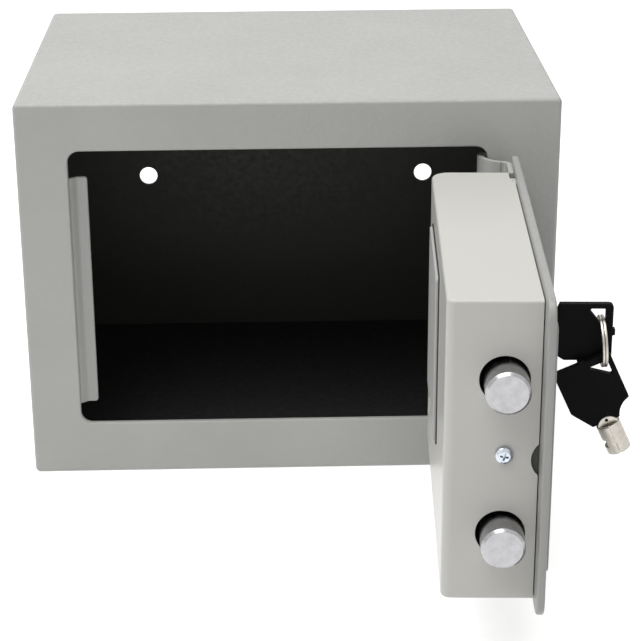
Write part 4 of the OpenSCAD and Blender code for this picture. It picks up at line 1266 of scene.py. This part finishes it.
class SAFE_OT_keys(bpy.types.Operator):
    """Model the key in the lock and the spare key that hangs from the ring"""
    bl_idname = "safe.keys"
    bl_label = "Keys"

    # The spare hangs by this point of its hole, from its far end and from its side, tilted by this angle
    spare_hold = (5, 3.95)
    spare_tilt = 24.7

    def execute(self, context):
        settings = context.scene.safe_keys
        low, high = shut_box("key_head")
        self.head_l = high.y - low.y - 1
        self.half_w = (high.z - low.z) / 2
        self.half_t = (high.x - low.x) / 2
        centre = midpoint((low, high))
        upright = turn(-90, "Z") @ turn(90, "X")
        in_lock = shift(centre.x, high.y, centre.z) @ upright
        hook = shut_point(JOINTS["spare_swing"]["pos_m"])
        hold = shift(self.spare_hold[0] - self.head_l, self.half_w - self.spare_hold[1], 0)
        hanging = (shift(*hook) @ upright @ turn(90 + self.spare_tilt, "Z") @ hold
                   @ Matrix.Scale(-1, 4, (0, 1, 0)))
        tube_low, tube_high = shut_box("key_tube")
        head = self.head(settings)
        tube = self.tube((tube_high.z - tube_low.z) / 2, tube_high.y - tube_low.y)
        for spare, place, body in (("", in_lock, "key"), ("spare_", hanging, "spare_key")):
            for part, name, node, slot in ((head, "moulded_head", "key_head", "key_black"),
                                           (tube, "rolled_tube", "key_tube", "key_nickel")):
                piece = tidy_mesh(move(duplicate(part, spare + name), place))
                hang(smooth(piece), body, slot, spare + node)
        for pattern in (head, tube):
            bpy.data.objects.remove(pattern)
        return {"FINISHED"}

    def head(self, settings):
        """The moulded head, drawn flat from its neck at 0 to its far end, with its ring hole."""
        far, half, corner = self.head_l, self.half_w, settings.corner / MM
        scoop_u, scoop_v, scoop_r = -2.2, half + 2.1, 8.8
        start = -pi / 2 + asin(-scoop_u / scoop_r)
        end = -asin((scoop_v - half) / scoop_r)
        scoop = [(scoop_u + scoop_r * cos(start + (end - start) * i / 8),
                  scoop_v + scoop_r * sin(start + (end - start) * i / 8), 0) for i in range(9)]
        neck = settings.neck / MM
        shape = rounded([(0, -neck, 0.8)] + scoop + [
            (far, half, corner), (far, 1.4, 0.3), (far + 1, 1.2, 0.3), (far + 1, -1.2, 0.3),
            (far, -1.4, 0.3), (far, -half, corner), (far - settings.side / MM, -half, 1.6)], 5)
        head = prism("head", shape, "Z", -self.half_t, self.half_t)
        round_edges(head, settings.edge / MM, 3, 40)
        end_u, side_v, long, across = far - 2.9, half - 2, 6.7, 8.5
        hole = prism("hole", rounded([(end_u, side_v, 0.7), (end_u - long, side_v, 0.7),
                                      (end_u, side_v - across, 0.6)]), "Z", -5, 5)
        combine(head, [hole])
        round_edges(head, 0.2, 2, 60)
        return paint(head, FINISH["key_black"])

    def tube(self, radius, tube_l):
        """The rolled tube with its seam and side notch, and the riveted tab that holds it in the head."""
        wall, top = 1.1, -0.9
        tube = turned("tube", rounded([
            (top, radius - wall, 0.1), (top, radius, 0.3), (-tube_l, radius, 0.3),
            (-tube_l, radius - wall, 0.2)]), "X", (0, 0, 0), 64)
        seam = cube("seam", (-tube_l - 1, -0.2, radius - 0.98), (top + 1, 0.2, radius + 1))
        notch = cube("notch", (-10.1, -radius - 1, -3.3), (-6.7, -radius + 1.9, 3.3))
        combine(tube, [seam, notch])
        tab_half, tab_t = 4.3, 2.1
        tab = prism("tab", [Vector((top - 2, -tab_half)), Vector((top - 2, tab_half))]
                    + [Vector((-1.6 + 4 * cos(pi / 2 - pi * i / 16), tab_half * sin(pi / 2 - pi * i / 16)))
                       for i in range(17)], "Z", -tab_t, tab_t)
        round_edges(tab, 0.3, 2, 50)
        # The rivet's two ends are pits in the tab
        pits = [turned("pit", rounded([(side * (tab_t - 0.9), 0, 0), (side * (tab_t - 0.9), 0.65, 0.1),
                                       (side * (tab_t + 1), 0.75, 0), (side * (tab_t + 1), 0, 0)]),
                       "Z", (1, 0, 0), 24) for side in (-1, 1)]
        combine(tab, pits)
        return paint(join([tube, tab], "tube"), FINISH["key_nickel"])


class SAFE_OT_ring(bpy.types.Operator):
    """Wind the split ring: two turns of flat wire that step over each other once"""
    bl_idname = "safe.ring"
    bl_label = "Split ring"

    wire = (1.3, 1.06)
    step_half = radians(22)

    def execute(self, context):
        top = shut_point(JOINTS["ring_swing"]["pos_m"])
        low, high = shut_box("split_ring")
        down = midpoint((low, high)) - top
        radius = down.length
        tilt = degrees(atan2(-down.y, -down.z))
        pitch = (self.wire[1] + 0.04) / 2
        points = []
        steps = 170
        for i in range(steps + 1):
            angle = self.step_half + (4 * pi - 2 * self.step_half) * i / steps
            share = min(1, max(0, (angle - 2 * pi + self.step_half) / (2 * self.step_half)))
            across = pitch * (2 * share * share * (3 - 2 * share) - 1)
            points.append((radius * cos(angle), across, radius * sin(angle)))
        ring = self.wind(points)
        place = shift(*top) @ turn(-tilt, "X") @ shift(0, 0, -radius)
        hang(coat(tidy_mesh(move(ring, place)), "key_nickel", 50), "ring", "key_nickel", "split_ring")
        return {"FINISHED"}

    def wind(self, points):
        """Sweeps the wire's section along the points."""
        half_r, half_w, corner = self.wire[0] / 2, self.wire[1] / 2, 0.3
        section = rounded([(-half_r, -half_w, corner), (half_r, -half_w, corner),
                           (half_r, half_w, corner), (-half_r, half_w, corner)], 3)
        count = len(section)
        vertices, faces = [], []
        for x, y, z in points:
            out = Vector((x, 0, z)).normalized()
            vertices += [(Vector((x, y, z)) + out * across + Vector((0, up, 0))) * MM
                         for across, up in section]
        for i in range(len(points) - 1):
            for j in range(count):
                a, b = i * count + j, i * count + (j + 1) % count
                faces.append((a, b, b + count, a + count))
        faces += [tuple(range(count)), tuple(range(len(vertices) - count, len(vertices)))]
        mesh = bpy.data.meshes.new("wound_ring")
        mesh.from_pydata(vertices, [], faces)
        ring = bpy.data.objects.new("wound_ring", mesh)
        bpy.context.scene.collection.objects.link(ring)
        return ring


class SAFE_OT_batteries(bpy.types.Operator):
    """Model the battery case, its cover and the four cells"""
    bl_idname = "safe.batteries"
    bl_label = "Batteries"

    # Where a cell's coloured band starts, from its flat end
    band_start = 35

    def execute(self, context):
        refine("battery_tray", "battery_case", 0.3, "black_plastic", "door", "black_plastic")
        self.add_cells()
        self.add_cover()
        return {"FINISHED"}

    def add_cells(self):
        low, high = shut_box("battery_cells")
        long, count = high.x - low.x, 4
        across = high.y - low.y
        pitch = (high.z - low.z - across) / (count - 1)
        cells = []
        for i in range(count):
            cell = turned("cell", rounded([
                (0.9, 0, 0), (0.9, 6.2, 0.2), (1, 6.4, 0.1), (1, across / 2, 0.5),
                (long - 1.2, across / 2, 0.6), (long - 1, 5.6, 0.2), (long - 1.2, 5.3, 0.1),
                (long - 1.2, 2.8, 0.1), (long, 2.7, 0.4), (long, 0, 0)]), "X", (0, 0, 0), 48)
            paint(cell, FINISH["cell_wrap"])
            paint(cell, FINISH["cell_band"], lambda middle, normal: middle.x > self.band_start)
            paint(cell, FINISH["contact_steel"],
                  lambda middle, normal: middle.x < 1.2 or middle.x > long - 1.5
                  or Vector((middle.y, middle.z)).length < 5.7)
            place = shift(low.x, (low.y + high.y) / 2, low.z + across / 2 + i * pitch)
            if i % 2:
                place = place @ shift(long, 0, 0) @ turn(180, "Z")
            cells.append(move(cell, place))
        hang(smooth(join(cells, "four_cells"), 30), "door", "cell_wrap", "battery_cells")

    def add_cover(self):
        """A light cover with a ribbed finger latch at its lower edge and a snap hook behind it."""
        low, high = shut_box("battery_cover")
        case_high = shut_box("battery_case")[1]
        latch_out = 0.3
        middle_x, face = (low.x + high.x) / 2, high.y - latch_out
        back = case_high.y
        cover = prism("tray_cover", rectangle(low, high, 2), "Y", back, face)
        bend_edges(cover, 0.4, 3, lambda middle, along: middle.y > face - NEAR)
        dish = prism("dish", rounded([(middle_x - 8, low.z - 2, 0), (middle_x + 8, low.z - 2, 0),
                                      (middle_x + 7, low.z + 5.5, 2.5), (middle_x - 7, low.z + 5.5, 2.5)]),
                     "Y", face - 0.5, face + 1)
        combine(cover, [dish])
        latch = cube("latch", (middle_x - 5, face - 0.7, low.z + 0.4), (middle_x + 5, high.y, low.z + 3.8))
        round_edges(latch, 0.3, 3)
        grooves = [cube("groove", (middle_x - 4, high.y - 0.22, low.z + 1.2 + i * 0.9),
                        (middle_x + 4, high.y + 1, low.z + 1.6 + i * 0.9)) for i in range(3)]
        combine(latch, grooves)
        hook = cube("hook", (middle_x - 5, low.y, low.z + 4.7), (middle_x + 5, back + 0.1, low.z + 5.6))
        arrow = prism("arrow", rounded([(middle_x - 4, high.z - 16, 0.3), (middle_x + 4, high.z - 16, 0.3),
                                        (middle_x, high.z - 10, 0.3)], 2), "Y", face - 0.3, face + 1)
        combine(cover, [arrow])
        combine(cover, [latch, hook], "UNION")
        hang(coat(cover, "cover_plastic"), "battery_cover", "black_plastic", "battery_cover")


class SAFE_OT_reset(bpy.types.Operator):
    """Model the small button that sets a new code, and its switch"""
    bl_idname = "safe.reset"
    bl_label = "Reset button"

    def execute(self, context):
        low, high = shut_box("reset_button")
        centre = midpoint((low, high))
        flange, cap = (high.z - low.z) / 2, 3
        button = turned("code_button", rounded([
            (low.y, 0, 0), (low.y, flange, 0.2), (low.y + 1.1, flange, 0.3), (low.y + 1.1, cap, 0.2),
            (high.y - 0.5, cap, 0.5), (high.y - 0.5, 2, 0.5), (high.y - 0.8, 0, 0)], 5), "Y", centre, 48)
        hang(coat(button, "reset_red"), "reset_button", "reset_red", "reset_button")
        refine("code_switch", "reset_switch", 0.3, "black_plastic", "door", "black_plastic")
        return {"FINISHED"}


OPERATORS = (SAFE_OT_stage, SAFE_OT_finishes, SAFE_OT_cabinet, SAFE_OT_back_sheet, SAFE_OT_strike,
             SAFE_OT_mat, SAFE_OT_hinge, SAFE_OT_door_plate, SAFE_OT_door_box, SAFE_OT_box_screw,
             SAFE_OT_bolts, SAFE_OT_front_panel, SAFE_OT_keypad, SAFE_OT_knob, SAFE_OT_lock,
             SAFE_OT_keys, SAFE_OT_ring, SAFE_OT_batteries, SAFE_OT_reset)
SETTINGS = {"safe_cabinet": CabinetSettings, "safe_door": DoorSettings, "safe_keys": KeySettings,
            "safe_stage": StageSettings}


class SAFE_PT_panel(bpy.types.Panel):
    """Settings and pieces of the safe"""
    bl_idname = "SAFE_PT_panel"
    bl_label = "Keypad Safe"
    bl_space_type = "VIEW_3D"
    bl_region_type = "UI"
    bl_category = "Keypad Safe"

    def draw(self, context):
        for name, group in SETTINGS.items():
            settings = getattr(context.scene, name)
            column = self.layout.box().column()
            for key in group.__annotations__:
                column.prop(settings, key)
        pieces = self.layout.column(align=True)
        for operator in OPERATORS:
            pieces.operator(operator.bl_idname)


def register():
    for group in SETTINGS.values():
        bpy.utils.register_class(group)
    for name, group in SETTINGS.items():
        setattr(bpy.types.Scene, name, PointerProperty(type=group))
    for operator in OPERATORS:
        bpy.utils.register_class(operator)
    bpy.utils.register_class(SAFE_PT_panel)


def unregister():
    bpy.utils.unregister_class(SAFE_PT_panel)
    for operator in reversed(OPERATORS):
        bpy.utils.unregister_class(operator)
    for name, group in SETTINGS.items():
        delattr(bpy.types.Scene, name)
        bpy.utils.unregister_class(group)


def main():
    register()
    for operator in OPERATORS:
        group, name = operator.bl_idname.split(".")
        getattr(getattr(bpy.ops, group), name)()


if __name__ == "__main__":
    main()
